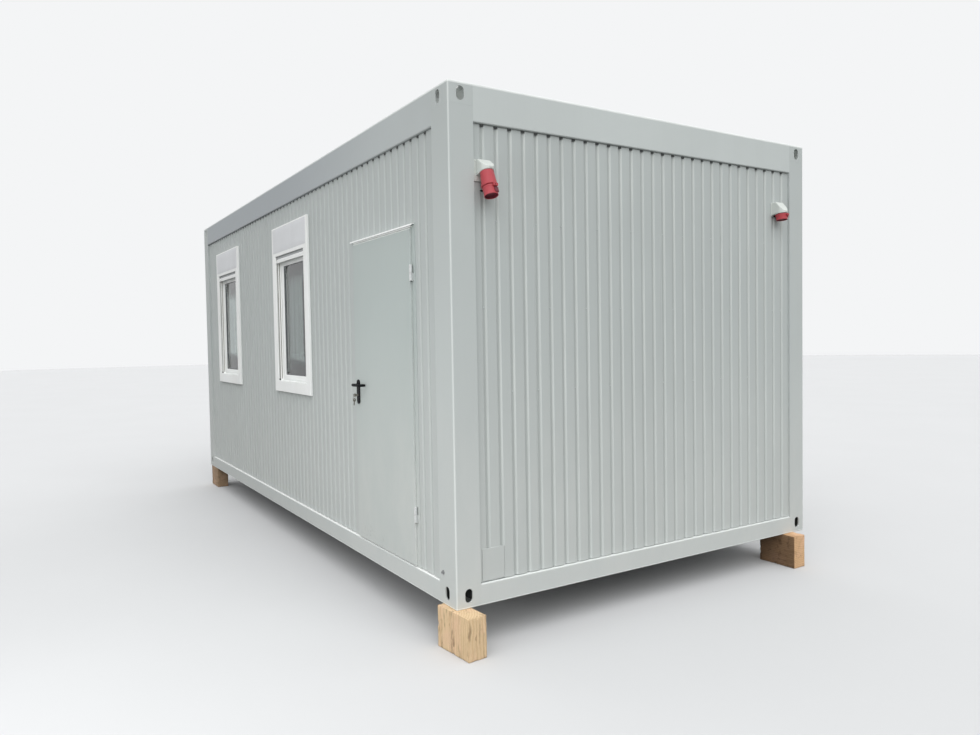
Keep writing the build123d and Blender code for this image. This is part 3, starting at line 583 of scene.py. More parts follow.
# one group's colour, roughness and height on a Principled shader, with the pattern set by a Mapping node
def finish(name, group, values, bump, shader=None, mapping=None, bands=(), layers=None):
    shading, vector = newLook(name)
    given = {**values, "Vector": add("Mapping", {**mapping, "Vector": vector})[0] if mapping else vector}
    for layer, key in (layers or {}).items():
        given[key] = add("Attribute", tree=vector.id_data, attribute_name=layer)["Fac"]
    effect = add("Group", given, node_tree=groups[group])
    colour = effect["Color"]
    for level, reach, evenness, bandTone in (rubbed[band] for band in bands):
        where = {"Vector": vector, "Level": level, "Reach": reach, "Evenness": evenness}
        colour = mixColour(add("Group", where, node_tree=groups["rubbedBand"])["Mask"], colour, bandTone)
    normal = add("Bump", {"Strength": bump[0], "Distance": bump[1], "Height": effect["Height"]})["Normal"]
    give(shading, {"Base Color": colour, "Roughness": effect["Roughness"], "Normal": normal, **(shader or {})})


# bands of rubbed paint and painted highlights: level, reach, evenness and tone; the pale bands on the roof's
# top edge, the rails' foot, the ledges and the leaf's head are painted highlights, the kicked one is wear
ledgeBand = cabin["ledge"] + 0.0005
rubbed = {
    "top": (cabin["roofTop"] - 0.004, 0.010, 0.8, edgeHighlight),
    "foot": (cabin["steelBottom"] + 0.0035, 0.008, 0.7, edgeHighlight),
    "ledge": (ledgeBand, 0.0022, 0.9, edgeHighlight),
    "brightLedge": (ledgeBand, 0.0022, 0.95, tone(248, 250, 249)),  # painted highlight on the ledge, paler under the door and the windows
    "kicked": (0.40, 0.09, 0.0, tone(168, 171, 168)),
    "leafHead": (2.3575, 0.005, 0.9, edgeHighlight),
}


# sprayed steel with a pale film low down, partly dust and partly painted light
def paint(name, colour, streak, values, bump, bands=(), layers=None):
    values = {"Paint": tone(*colour), "Streak": tone(*streak), "Gloss Roughness": 0.42, **values}
    shader = {"Specular IOR Level": 0.14}
    finish(name, "sprayedPaint", values, bump, shader, None, bands, layers)


steel = {"Streak Strength": 0.10, "Dust Strength": 0.5, "Edge Highlight Strength": 0.36}
# painted shade inside the floor castings, painted light inside the roof castings, which let light in at the top
shadedInside = {"Hollow Light And Shade Strength": 0.95, "Hollow Light And Shade Tone": tone(34, 37, 36)}
litInside = {"Hollow Light And Shade Strength": 0.95, "Hollow Light And Shade Tone": tone(228, 231, 229)}
# the floor rails are a lighter copy of the posts' paint, as painted light low down
for name, colour, streak, more, bands in (
    ("framePaint", (179, 185, 184), (174, 179, 177), {}, ["top", "foot"]),
    ("lowCastingPaint", (179, 185, 184), (174, 179, 177), shadedInside, ["foot"]),
    ("highCastingPaint", (179, 185, 184), (174, 179, 177), litInside, ["top"]),
    ("floorRailPaint", (182, 188, 187), (174, 179, 177), {}, ["foot", "ledge"]),
    ("frontFloorRailPaint", (182, 188, 187), (174, 179, 177), {}, ["foot", "brightLedge"]),
    ("roofRailPaint", (188, 194, 193), (179, 184, 182), {}, ["top"]),
    ("frontRoofRailPaint", (180, 186, 186), (172, 177, 177), {"Far Shade Strength": 0.95}, ["top"]),
):
    paint(name, colour, streak, {**steel, **more}, (0.25, 0.0008), bands)
overLedge = {"Dust Level": cabin["ledge"]}
sheet = {"Streak Strength": 0.14, "Dust And Low Light": tone(196, 198, 195), "Dust Strength": 0.5, **overLedge}
sheetLayers = {"fold": "Fold", "groove": "Groove"}
paint("wallPaint", (175, 181, 180), (164, 169, 167), sheet, (0.22, 0.0008), (), sheetLayers)
leaf = {"Streak Strength": 0.10, "Dust Strength": 0.62, **overLedge}
for name, bands in (("doorPaint", ["kicked", "leafHead"]), ("doorFramePaint", ["kicked"])):
    paint(name, (172, 181, 179), (165, 172, 170), leaf, (0.22, 0.0007), bands)

# plastics and rubbers: colour, weathered, weathering, grain scale, roughness, bump's strength and distance
plastics = {
    "windowPlastic": ((238, 240, 239), (228, 230, 228), 0.5, 700.0, 0.35, 0.15, 0.00012),
    "headPanelPlastic": ((214, 216, 219), (206, 208, 210), 0.5, 800.0, 0.42, 0.2, 0.00015),
    "sealRubber": ((62, 64, 65), (84, 86, 86), 0.6, 1200.0, 0.62, 0.3, 0.0002),
    "paleRubber": ((232, 235, 233), (218, 220, 218), 0.6, 1200.0, 0.6, 0.3, 0.0002),
    "glazingRubber": ((96, 98, 100), (108, 109, 110), 0.5, 1200.0, 0.65, 0.3, 0.0002),
    "brushFelt": ((124, 120, 108), (104, 100, 90), 0.7, 1500.0, 0.85, 0.6, 0.0004),
    "curtainPlastic": ((168, 170, 172), (152, 154, 156), 0.5, 700.0, 0.5, 0.2, 0.00015),
    "blackPlastic": ((20, 21, 23), (34, 36, 38), 0.4, 1600.0, 0.46, 0.35, 0.00015),
    "socketWhite": ((199, 204, 200), (190, 194, 189), 0.5, 1100.0, 0.4, 0.2, 0.00015),
    "socketRed": ((164, 54, 62), (168, 82, 90), 0.7, 1300.0, 0.36, 0.35, 0.0002),
    "darkRed": ((104, 34, 46), (90, 46, 58), 0.5, 1300.0, 0.5, 0.35, 0.0002),
}
for name, (colour, weathered, *numbers, strength, distance) in plastics.items():
    values = dict(zip(plasticInputs, (tone(*colour), tone(*weathered), *numbers)))
    shader = {"Specular IOR Level": 0.07} if name == "blackPlastic" else None
    finish(name, "mouldedGrain", values, (strength, distance), shader)

# metals: colour, tarnish and its strength, roughness, metallic and the bump's strength
turnedOver = {"Rotation": (0, math.pi / 2, 0)}  # long grain along X
metals = {
    "spacerMetal": ((222, 224, 224), (196, 198, 198), 0.3, 0.5, 0.1, 0.15),
    "boltZinc": ((176, 178, 180), (128, 124, 114), 0.5, 0.3, 0.9, 0.2),
    "stripMetal": ((248, 250, 249), (222, 224, 222), 0.3, 0.38, 0.2, 0.15),
    "hingeMetal": ((204, 207, 207), (160, 160, 156), 0.4, 0.36, 0.25, 0.2),
    "keyMetal": ((124, 121, 112), (78, 75, 68), 0.5, 0.36, 0.6, 0.25),
}
for name, (colour, tarnish, *numbers, metallic, strength) in metals.items():
    values = dict(zip(metalInputs, (tone(*colour), tone(*tarnish), *numbers)))
    mapping = turnedOver if name == "stripMetal" else None
    finish(name, "drawnMetal", values, (strength, 0.0001), {"Metallic": metallic}, mapping)
zinc = {"Bright": tone(188, 192, 194), "Dull": tone(158, 162, 164), "Spangle Scale": 55.0}
finish("roofZinc", "zincSpangle", zinc, (0.25, 0.0012), {"Metallic": 0.55})
board = dict(zip(boardInputs, (tone(216, 216, 212), tone(206, 205, 200), tone(198, 195, 188), 0.25)))
finish("liningBoard", "boardPrint", board, (0.2, 0.0002))
board = dict(zip(boardInputs, (tone(132, 134, 134), tone(116, 118, 118), tone(150, 148, 142), 0.5)))
finish("floorBoard", "boardPrint", board, (0.3, 0.0003), None, turnedOver)

# pane: clear tinted glass with a faint standing film, seen as slightly different tints down the pane
shading, vector = newLook("paneGlass")
film = noise(vector, 1, 4, 0.6, (28, 28, 0.5))
bump = {"Strength": 0.12, "Distance": 0.0006, "Height": noise(vector, 3.5, 1)}
surface = {
    "Base Color": mixColour(ranged(film, 0.35, 0.7), tone(196, 210, 206), tone(168, 184, 182)),
    "Roughness": ranged(film, 0.2, 0.8, 0.01, 0.05),
    "Normal": add("Bump", bump)["Normal"],
    "Transmission Weight": 1.0,
    "IOR": 1.5,
    "Specular IOR Level": 0.32,
}
give(shading, surface)
print("materials made")

# solids that keep their shape and only get a finish
nodeLooks = {
    "floorRailPaint": ["floor_rail_right", "floor_rail_back", "floor_rail_left"],
    "frontFloorRailPaint": ["floor_rail_front"],
    "roofRailPaint": ["roof_rail_right", "roof_rail_back", "roof_rail_left"],
    "frontRoofRailPaint": ["roof_rail_front"],
    "framePaint": ["corner_post_front_right", "corner_post_back_right", "corner_post_back_left"]
    + ["corner_post_front_left", "floor_cross_members"],
    "doorPaint": ["door_leaf"],
    "windowPlastic": ["window_covers", "window_frames"],
    "stripMetal": ["door_threshold", "door_drip_strip"],
    "hingeMetal": ["door_hinge_pins", "door_hinge_barrels"],
    "liningBoard": ["ceiling", "long_wall_linings", "end_wall_linings"],
    "floorBoard": ["floor_deck"],
    "roofZinc": ["underfloor_sheet"],
}
for look, names in nodeLooks.items():
    for name in names:
        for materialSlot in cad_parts[name].material_slots:
            materialSlot.material = looks[look]
print("finishes on", sum(len(names) for names in nodeLooks.values()), "solids")

easedCopy("floorCornerCastings", "floor_corner_castings", 0.0022, "lowCastingPaint")
easedCopy("roofCornerCastings", "roof_corner_castings", 0.0022, "highCastingPaint")
print("corner castings eased")

sheets = {
    "thickness": 0.0012,
    "groovePitch": 0.09073,
    "grooveMouth": 0.030,
    "grooveBottom": 0.014,
    "grooveDepth": 0.010,
    "bend": 0.0030,
    "firstOnFront": 0.205,  # from the near right corner
    "firstOnEnd": 0.218,
    "sheetGrooves": 11,  # grooves on one sheet, so that sheets meet every 998 mm
    "firstJointOnEnd": 4,
    "firstJointOnFront": 3,
    "lapWidth": 0.004,
    "lapDepth": 0.006,
    "lapBeside": 0.0015,
    "topGap": 0.0022,
    "bottomGap": 0.0040,
    "sealDepth": 0.0290,
    "sealHeight": 0.014,
    "sealThickness": 0.006,
    "fillerHeight": 0.0115,
    "foldHighlight": {"front": 0.45, "back": 0.45, "right": 1.0, "left": 1.0},
}
windows = {
    "centres": [3.285, 1.098],  # along the front from its far left corner
    "half": 0.4725,
    "holeHalf": 0.420,
    "holeBottom": 1.322,
    "holeTop": 2.662,
    "revealHalf": 0.3765,
    "revealBottom": 1.368,
}
doorway = {"low": 4.692, "high": 5.590, "holeTop": 2.375}
mouth, floorOfGroove, skin = sheets["grooveMouth"] / 2, sheets["grooveBottom"] / 2, cabin["skinRecess"]
ledge, wallTop = cabin["ledge"], cabin["wallTop"]


# middles of the grooves on one side, measured along it, and the ones where two sheets meet
def grooveMiddles(side):
    length, corner = sideMeasures(side)
    where = "Front" if side in ("front", "back") else "End"
    first = sheets["firstOn" + where]
    count = int((length - corner - first) // sheets["groovePitch"]) + 1
    middles = first + np.arange(count) * sheets["groovePitch"]
    if side in ("front", "left"):
        middles = length - middles
    return middles, middles[sheets["firstJointOn" + where] :: sheets["sheetGrooves"]]


# sorted places between two ends: a number of close steps over each fold, and the others given
def foldPlaces(middles, reach, steps, low, high, others):
    close = middles[:, None] + np.linspace(-reach, reach, steps)
    places = np.concatenate([close.ravel(), *others, [low, high]])
    return np.unique(np.round(places[(places >= low) & (places <= high)], 5))


# share of a trapezium's height at a distance from its middle, averaged over a few millimetres so
# that its bends are round
def trapezium(places, middles, foot, top, bend):
    distance = np.abs(places[:, None, None] - middles[None, :, None] + np.linspace(-0.5, 0.5, 9) * bend)
    return np.clip((foot - distance) / (foot - top), 0, 1).mean(-1).sum(-1)


# depth of a sheet: a trapezium at each groove, and a narrow slit beside the groove where two sheets lap
def wallSheet(side, low, high, bottom, top):
    bottom += sheets["bottomGap"] if bottom < ledge + 0.001 else 0
    top -= sheets["topGap"] if top > wallTop - 0.001 else 0
    middles, joints = grooveMiddles(side)
    flats = (middles[:, None] + np.array([-0.5, 0.5]) * sheets["groovePitch"] * 0.98).ravel()
    along = foldPlaces(middles, mouth + 0.007, 31, low, high, [flats])
    grooves = trapezium(along, middles, mouth, floorOfGroove, sheets["bend"]) * sheets["grooveDepth"]
    offset = (along[:, None] - joints + mouth + sheets["lapBeside"]) / sheets["lapWidth"]
    depth = skin + grooves + np.exp(-((2 * offset) ** 4)).sum(-1) * sheets["lapDepth"]
    part = foldedSheet(np.stack([along, -depth], -1), sheets["thickness"], bottom, top)
    # steep is 0 on the flats and 1 on a groove's side, deep is 0 on the flats and 1 in a groove
    # the fold share carries a painted highlight on the grooves' sides, stronger on the end walls that face the
    # light
    steep = np.clip((np.abs(np.gradient(-depth, along)) - 0.35) / 0.6, 0, 1) * sheets["foldHighlight"][side]
    deep = np.clip((depth - skin) / sheets["grooveDepth"], 0, 1)
    shares = [np.tile(np.concatenate([share, share[::-1]]), 2) for share in (steep, deep)]
    return moved(part, wallAxes(side)), *shares


# sheets of one side as one piece that stands for a solid
def sheetPiece(name, node, side, places):
    parts, folds, grooves = zip(*(wallSheet(side, *place) for place in places))
    layers = {"fold": np.concatenate(folds), "groove": np.concatenate(grooves)}
    makePiece(name, parts, "wallPaint", 60, node, layers=layers)


# where a solid starts and ends along its side, and its lowest and highest level
def span(node, side):
    low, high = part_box(node)
    start, along = wallAxes(side)[:2]
    return *np.sort((np.array([low, high]) - start) @ along), low.z, high.z


length, corner = sideMeasures("front")
near, far = windows["centres"]
hole = windows["holeHalf"]
holes = [(centre - hole, centre + hole) for centre in (far, near)]
leafHole = (doorway["low"], doorway["high"])
edges = [corner, *holes[0], *holes[1], *leafHole, length - corner]
piers = list(zip(edges[::2], edges[1::2]))
for name, node, spans, low, high in (
    ("frontWallSheets", "piers", piers, ledge, wallTop),
    ("sheetsUnderWindows", "under_windows", holes, ledge, windows["holeBottom"]),
    ("sheetsOverWindows", "over_windows", holes, windows["holeTop"], wallTop),
    ("sheetOverDoor", "over_door", [leafHole], doorway["holeTop"], wallTop),
):
    sheetPiece(name, "front_wall_" + node, "front", [(*ends, low, high) for ends in spans])
for side in ("back", "right", "left"):
    sheetPiece(side + "WallSheets", side + "_wall", side, [span(side + "_wall", side)])

# soft strips behind the sheets' lower and upper edges
sealParts = []
for side in sides:
    length, edge = sideMeasures(side)
    low, high = edge + 0.001, length - (edge + 0.001)
    strips = [(low, high, wallTop - sheets["sealHeight"] - 0.0005), (low, high, ledge + 0.0005)]
    if side == "front":
        halves = (low, doorway["low"] - 0.002), (doorway["high"] + 0.002, high)
        strips[1:] = [(*ends, ledge + 0.0005) for ends in halves]
    for low, high, bottom in strips:
        box, depth = (low, high, bottom, bottom + sheets["sealHeight"]), -sheets["sealDepth"]
        strip = pad(box, (0.003, 3), 80, depth - sheets["sealThickness"], depth, 0.001, 2)
        sealParts.append(moved(strip, wallAxes(side)))
makePiece("sheetSeals", sealParts, "sealRubber", 40)

# dark foam pressed into the top of each groove, in the groove's own section
foam = {"sides": 0.0015, "bottom": 0.0008, "faces": 0.0004, "below": 0.0006}  # clearances
fillerParts = []
outer, inner = -skin - foam["faces"], -skin - sheets["grooveDepth"] + foam["faces"]
wide, narrow = mouth - foam["sides"], floorOfGroove - foam["bottom"]
section = rounded([(-wide, outer), (wide, outer), (narrow, inner), (-narrow, inner)], 0.0012, 3)
for side in sides:
    start, along, up, out = wallAxes(side)
    for middle in grooveMiddles(side)[0]:
        filler = pushed(section + (middle, 0), wallTop - sheets["fillerHeight"], wallTop - foam["below"])
        fillerParts.append(moved(filler, (start, along, out, up)))
makePiece("grooveFillers", fillerParts, "sealRubber", 40)
print("wall sheets folded")

# low domed screw heads in the grooves, in three rows, where the end wall shows them
screws = {
    "radius": 5.2,  # in millimetres
    "height": 2.6,
    "grooves": 28,  # the pattern starts again after these
    "rows": {
        2.354: [1, 4, 6, 9, 12, 15, 17, 20, 23, 26],
        1.876: [0, 5, 8, 11, 16, 19, 22, 27],
        1.404: [2, 4, 7, 10, 13, 15, 18, 21, 24],
    },
}
r, h = screws["radius"], screws["height"]
dome = [(r, -1), (r, 0), (0.97 * r, 0.45 * h), (0.8 * r, 0.8 * h), (0.45 * r, h), (0.3 * r, 0.75 * h)]
screwHead = lathed(dome, 14)
screwParts = []
for side in sides:
    middles = grooveMiddles(side)[0]
    for level, numbers in screws["rows"].items():
        for number in [n + shift * screws["grooves"] for shift in range(3) for n in numbers]:
            if number >= len(middles):
                continue
            place = middles[number]
            inWindow = any(abs(place - centre) < windows["half"] + 0.02 for centre in windows["centres"])
            inDoor = doorway["low"] - 0.03 < place < doorway["high"] + 0.03 and level < 2.43
            if side != "front" or not (inWindow or inDoor):
                bottom = shifted(wallAxes(side), place, level, -skin - sheets["grooveDepth"])
                screwParts.append(moved(screwHead, bottom))
makePiece("wallScrews", screwParts, "framePaint", 40)
print("wall screws set:", len(screwParts))

# plate over an unused opening, with a bead of sealant under it
sealant = {"inset": 0.001, "below": 0.0045, "above": 0.002, "back": -0.0268, "front": -0.0122}
easedCopy("blankingPlate", "end_wall_blanking_plate", 0.0014, "wallPaint")
low, high, bottom = span("end_wall_blanking_plate", "right")[:3]
box = (low + sealant["inset"], high - sealant["inset"], bottom - sealant["below"], bottom + sealant["above"])
bead = pad(box, (0.002, 4), 90, sealant["back"], sealant["front"], 0.0014, 3)
makePiece("plateSealant", [bead], "wallPaint", 40, axes=wallAxes("right"))

roof = {
    "level": 3.010,
    "thickness": 0.0015,
    "ribCount": 9,
    "ribTop": 0.018,
    "ribFoot": 0.032,
    "ribHeight": 0.0248,
    "bend": 0.005,
    "edgeGap": 0.004,
}


# height of the roof sheet: a trapezium at each rib
def roofSheet(reachX, lowY, highY):
    pitch = (2 * cabin["faceX"] - 2 * cabin["cornerAlong"]) / roof["ribCount"]
    middles = (np.arange(roof["ribCount"]) - (roof["ribCount"] - 1) / 2) * pitch
    foot, top = roof["ribFoot"] / 2, roof["ribTop"] / 2
    places = foldPlaces(middles, foot + 0.006, 33, -reachX, reachX, [])
    rise = trapezium(places, middles, foot, top, roof["bend"])
    line = np.stack([places, roof["level"] + rise * roof["ribHeight"]], -1)
    return foldedSheet(line, roof["thickness"], lowY, highY)


innerX, innerY = cabin["faceX"] - roof["edgeGap"], cabin["faceY"] - roof["edgeGap"]
cutX, cutY = cabin["faceX"] - cabin["cornerAlong"], cabin["faceY"] - cabin["cornerAcross"]
roofParts = [roofSheet(innerX, -cutY, cutY), roofSheet(cutX, -innerY, -cutY), roofSheet(cutX, cutY, innerY)]
makePiece("roofSheet", roofParts, "roofZinc", 60, "roof_sheet")
print("roof sheet folded")

sash = {
    "box": (0.3525, 1.382, 2.404),  # half its width, bottom and top
    "widths": (0.054, 0.037, 0.034),
    "near": 0.036,
    "far": 0.088,
    "glassNear": 0.048,
    "glassFar": 0.072,
    "paneThickness": 0.004,
    "paneHold": 0.004,
    "spacer": 0.012,
    "gasket": 0.0085,
    "gasketProud": 0.0024,
    "lipGap": 0.0030,
    "lip": 0.0048,
}
frontAxes = wallAxes("front")
centres = windows["centres"]
near, far, glassNear, glassFar = (sash[key] for key in ("near", "far", "glassNear", "glassFar"))

# outer lip, flat, shadow groove and sloping glazing bead, as share of the sash's width and depth
sashProfile = [(0.0, near + 0.003), (0.04, near), (0.60, near), (0.64, near + 0.003), (0.68, near + 0.001)]
sashProfile += [(1.0, glassNear - 0.004), (1.0, glassNear), (0.9, glassNear + 0.001), (0.9, glassFar - 0.001)]
sashProfile += [(1.0, glassFar), (1.0, glassFar + 0.002), (0.94, far), (0.0, far)]
sashProfile = rounded(sashProfile, 0.0012, 3)
sashParts = [rectangleLoop(centre, sash["box"], 0, sash["widths"], sashProfile) for centre in centres]
makePiece("windowSashes", sashParts, "windowPlastic", 25, "window_sashes", frontAxes)

# glazing gaskets on both faces of the pane, and the lip seal round each sash
half, bottom, top = sash["box"]
glassBox = (half - sash["widths"][0], bottom + sash["widths"][1], top - sash["widths"][2])
gasketParts = []
for centre in centres:
    for face, proud in ((glassNear, -sash["gasketProud"]), (glassFar, sash["gasketProud"])):
        bead = rounded([(0, face), (0, face + proud), (0.6, face + proud), (1, face)], 0.0006, 3)
        gasketParts.append(rectangleLoop(centre, glassBox, 0, [sash["gasket"]] * 3, bead))
makePiece("glazingGaskets", gasketParts, "glazingRubber", 30, axes=frontAxes)
lip = rounded([(0, 0.0410), (0, 0.0385), (0.3, 0.0378), (1, 0.0378), (1, 0.0420)], 0.0006, 3)
lipParts = [rectangleLoop(centre, sash["box"], sash["lipGap"], [sash["lip"]] * 3, lip) for centre in centres]
makePiece("sashSeals", lipParts, "paleRubber", 30, axes=frontAxes)

# double panes with a spacer bar between them, held in the sash's groove
paneParts, spacerParts = [], []
hold, thick = sash["paneHold"], sash["paneThickness"]
half, bottom, top = glassBox
barNear, barFar = glassNear + thick + 0.0002, glassFar - thick - 0.0002
bar = [(0, barNear), (0.85, barNear), (1, barNear + 0.002), (1, barFar - 0.002), (0.85, barFar), (0, barFar)]
bar = rounded(bar, 0.0008, 3)
for centre in centres:
    box = (centre - half - hold, centre + half + hold, bottom - hold, top + hold)
    for face in (glassNear, glassFar - thick):
        paneParts.append(pad(box, (0.0015, 3), 120, -face - thick, -face, 0.0004, 2))
    spacerParts.append(rectangleLoop(centre, glassBox, hold, [sash["spacer"]] * 3, bar))
makePiece("windowPanes", paneParts, "paneGlass", 30, "window_glass", frontAxes)
makePiece("paneSpacers", spacerParts, "spacerMetal", 30, axes=frontAxes)

# panel of the shutter box, let into the head of each cover
panel = {"half": 0.440, "bottom": 2.486, "top": 2.696, "back": 0.0035, "front": 0.0047}
boxParts = []
for centre in centres:
    box = (centre - panel["half"], centre + panel["half"], panel["bottom"], panel["top"])
    boxParts.append(pad(box, (0.004, 4), 160, panel["back"], panel["front"], 0.0005, 3))
makePiece("shutterBoxPanels", boxParts, "headPanelPlastic", 30, axes=frontAxes)

# bottom rail of each rolled shutter with its drip nose, and the slats that lead up from it
shutter = {"half": 0.3845, "bottom": 2.400, "railHeight": 0.034, "top": 2.532, "pitch": 0.0245, "gap": 0.0012}
base, top = shutter["bottom"], shutter["bottom"] + shutter["railHeight"]
railProfile = [(-0.0155, base + 0.001), (-0.0150, base), (-0.0072, base), (-0.0066, base + 0.003)]
railProfile += [(-0.0078, base + 0.008), (-0.0066, base + 0.012), (-0.0066, top - 0.010)]
railProfile += [(-0.0080, top - 0.006), (-0.0084, top - 0.001), (-0.0096, top)]
railProfile += [(-0.0140, top), (-0.0155, top - 0.004)]
railProfile = rounded(railProfile, 0.0016, 3)
slatSteps = np.linspace(0, 1, 9)
slatCurve = -0.0106 + 0.0021 * np.sin(np.pi * slatSteps) ** 0.8
railParts, slatParts = [], []
for centre in centres:
    ends = (centre - shutter["half"], centre + shutter["half"])
    railParts.append(pushed(railProfile, *ends))
    for low in np.arange(top, shutter["top"] - 0.004, shutter["pitch"]):
        high = min(low + shutter["pitch"] - shutter["gap"], shutter["top"])
        slat = np.stack([slatCurve, low + slatSteps * (high - low)], -1)
        slatParts.append(pushed(np.vstack([slat, [(-0.0134, high), (-0.0134, low)]]), *ends))
alongAxes = (frontAxes[0], frontAxes[3], frontAxes[2], frontAxes[1])
makePiece("shutterBottomRails", railParts, "windowPlastic", 30, "shutter_slats", alongAxes)
makePiece("shutterSlats", slatParts, "curtainPlastic", 30, axes=alongAxes)

# dark inlays, joints and foot plugs of the shutter guides: ends across, bottom, height (0 for the
# whole guide's), look, and the pad's corner, points, faces, rim and steps
guides = {
    "guideBrushes": ((0.0005, 0.0105), 0.002, 0, "brushFelt", (0.001, 3), 64, -0.0168, -0.0150, 0.0006, 2),
    "guideJoints": ((-0.0007, 0.001), 0.001, 0, "brushFelt", (0.0003, 3), 80, -0.0335, -0.0275, 0.0003, 2),
    "guidePlugs": ((-0.004, 0.0105), 0.0005, 0.016, "blackPlastic", (0.0015, 3), 48, -0.016, -0.0062, 0.001, 3),
}
for name, (across, above, height, look, *shape) in guides.items():
    bottom = windows["revealBottom"]
    levels = (bottom + above, bottom + height if height else shutter["bottom"])
    parts = []
    for centre in centres:
        for sign in (-1, 1):
            ends = sorted(centre + sign * (windows["revealHalf"] + reach) for reach in across)
            parts.append(pad((*ends, *levels), *shape))
    makePiece(name, parts, look, 40, axes=frontAxes)
print("windows dressed")

door = {"hinge": (2.557, -1.4965), "low": 1.678, "high": 2.546, "bottom": 0.360, "top": 2.360}
easedCopy("doorFrame", "door_frame", 0.0008, "doorFramePaint", 2)

# hollow lip seal on the back of the leaf's lip, up one side, over the head and down the other
seal = {"inset": -0.0006, "width": 0.0085, "footGap": 0.004}
sealProfile = [(0, 0.0062), (1, 0.0062), (0.85, 0.0094), (0.5, 0.0104), (0.15, 0.0094)]
sealShare, sealDepth = rounded(sealProfile, 0.0012, 3).T
inset = seal["inset"] + sealShare * seal["width"]
middle, half = (door["low"] + door["high"]) / 2, (door["high"] - door["low"]) / 2
sealX = middle + np.array([[-1], [-1], [1], [1]]) * (half - inset)
foot, head = np.full(len(inset), door["bottom"] + seal["footGap"]), door["top"] - inset
sealY = np.broadcast_to(-cabin["faceY"] + sealDepth, sealX.shape)
sealRings = np.dstack([sealX, sealY, [foot, head, head, foot]])
makePiece("doorSeal", [loft(sealRings)], "paleRubber", 30, body="door")

# pale strip under the drip strip, fixed to the head of the frame just above the leaf
headSeal = {"left": 0.004, "right": 0.018, "bottom": 2.3612, "top": 2.3690, "near": -0.0034, "far": 0.0108}
ends = (door["low"] + headSeal["left"] + cabin["faceX"], door["high"] + headSeal["right"] + cabin["faceX"])
box = (*ends, headSeal["bottom"], headSeal["top"])
headStrip = pad(box, (0.001, 3), 160, -headSeal["far"], -headSeal["near"], 0.0012, 3)
makePiece("doorHeadSeal", [headStrip], "paleRubber", 30, axes=frontAxes)

# domed caps on the heads and feet of the hinge barrels: radius r cos t, rise h sin t, in millimetres
hinges = {"levels": [0.622, 2.049], "half": 0.046, "radius": 10, "capHeight": 4, "footShare": 0.72}
t = np.linspace(0, 1.45, 7)
cap = np.stack([hinges["radius"] * np.cos(t), hinges["capHeight"] * np.sin(t)], -1)
cap = np.vstack([[(hinges["radius"] * 0.96, -0.6)], cap])
topCaps, footCaps = [], []
for level in hinges["levels"]:
    foot = np.array([*door["hinge"], level])
    head = foot + upward * (2 * hinges["half"] + 0.0003)
    topCaps.append(moved(lathed(cap, 32), (head, alongX, alongY, upward)))
    footCaps.append(moved(lathed(cap * (hinges["footShare"], 1), 32), (foot, alongX, alongY, -upward)))
makePiece("hingeTopCaps", topCaps, "hingeMetal", 50, body="door")
makePiece("hingeFootCaps", footCaps, "blackPlastic", 50)
print("door leaf sealed and hung")

lever = {
    "x": 1.724,
    "z": 1.407,
    "reaches": (0.052, 0.047),  # out of the outer face and the inner one
    "grip": 0.130,
    "bend": 0.020,
    "leafThickness": 0.045,
    "plateThickness": 0.008,
    "plateMiddle": 1.359,
    "screwSpacing": 0.066,
}
faces = ((-cabin["faceY"], -1), (-cabin["faceY"] + lever["leafThickness"], 1))
plateFront = lever["plateThickness"]


# lever: an oval bar bent out of the plate, along the leaf and back to it, its halves drawn in by a
# taper and by a round end, sqrt(1 - s^2)
def leverArm(gripY, endY, out):
    x, z, middle = lever["x"], lever["z"], -cabin["faceY"] + lever["leafThickness"] / 2
    tip = x + lever["grip"]
    points = [(x, middle - 0.0005 * out, z), (x, gripY, z), (tip, gripY, z), (tip, endY, z)]
    path = rounded(points, lever["bend"], 12, False)
    travelled = travelledAlong(path)
    wanted = np.unique(np.concatenate([np.linspace(0, travelled[-1], 60), travelled]))
    share = wanted / wanted[-1]
    oval = np.clip((share - 0.2) / 0.2, 0, 1)
    taper = 1 - 0.14 * np.clip((share - 0.35) / 0.65, 0, 1)
    endRound = np.sqrt(np.clip(1 - ((share - 0.975) / 0.025).clip(0, 0.94) ** 2, 0, 1))
    halves = np.stack([(0.0079 - 0.0004 * oval) * endRound, (0.0079 + 0.0022 * oval) * taper * endRound], -1)
    return carried(circle(1, 28) * halves[:, None], placedAlong(path, travelled, wanted), upward)


# axes on the leaf at the levers' distance from its edge: across it, up, and out of one face
def leafAxes(y, level, out):
    return np.array([lever["x"], y, level]), alongX, upward, out * alongY


leverParts, plateScrews = [], []
for (y, out), reach in zip(faces, lever["reaches"]):
    leverParts.append(leverArm(y + out * reach, y + out * plateFront, out))
collar = [(7.9, 0), (12.5, 0), (12.5, 3.5), (11.2, 5.5), (7.9, 6.2)]
screw = [(3.6, -0.5), (3.6, 0.4), (3, 1.1), (1.6, 1.4), (1.2, 0.8)]
for y, out in faces:
    collarAxes = leafAxes(y + out * (plateFront + 0.0003), lever["z"], out)
    leverParts.append(moved(lathed(collar, 40, (0.8, 4)), collarAxes))
    for level in (lever["plateMiddle"] + lever["screwSpacing"], lever["plateMiddle"] - lever["screwSpacing"]):
        plateScrews.append(moved(lathed(screw, 20), leafAxes(y + out * plateFront, level, out)))
makePiece("doorLevers", leverParts, "blackPlastic", 40, "door_levers", body="door_handle")
easedCopy("doorHandlePlates", "door_handle_plates", 0.0028, "blackPlastic", 4, "door")
makePiece("plateScrews", plateScrews, "blackPlastic", 40, body="door")

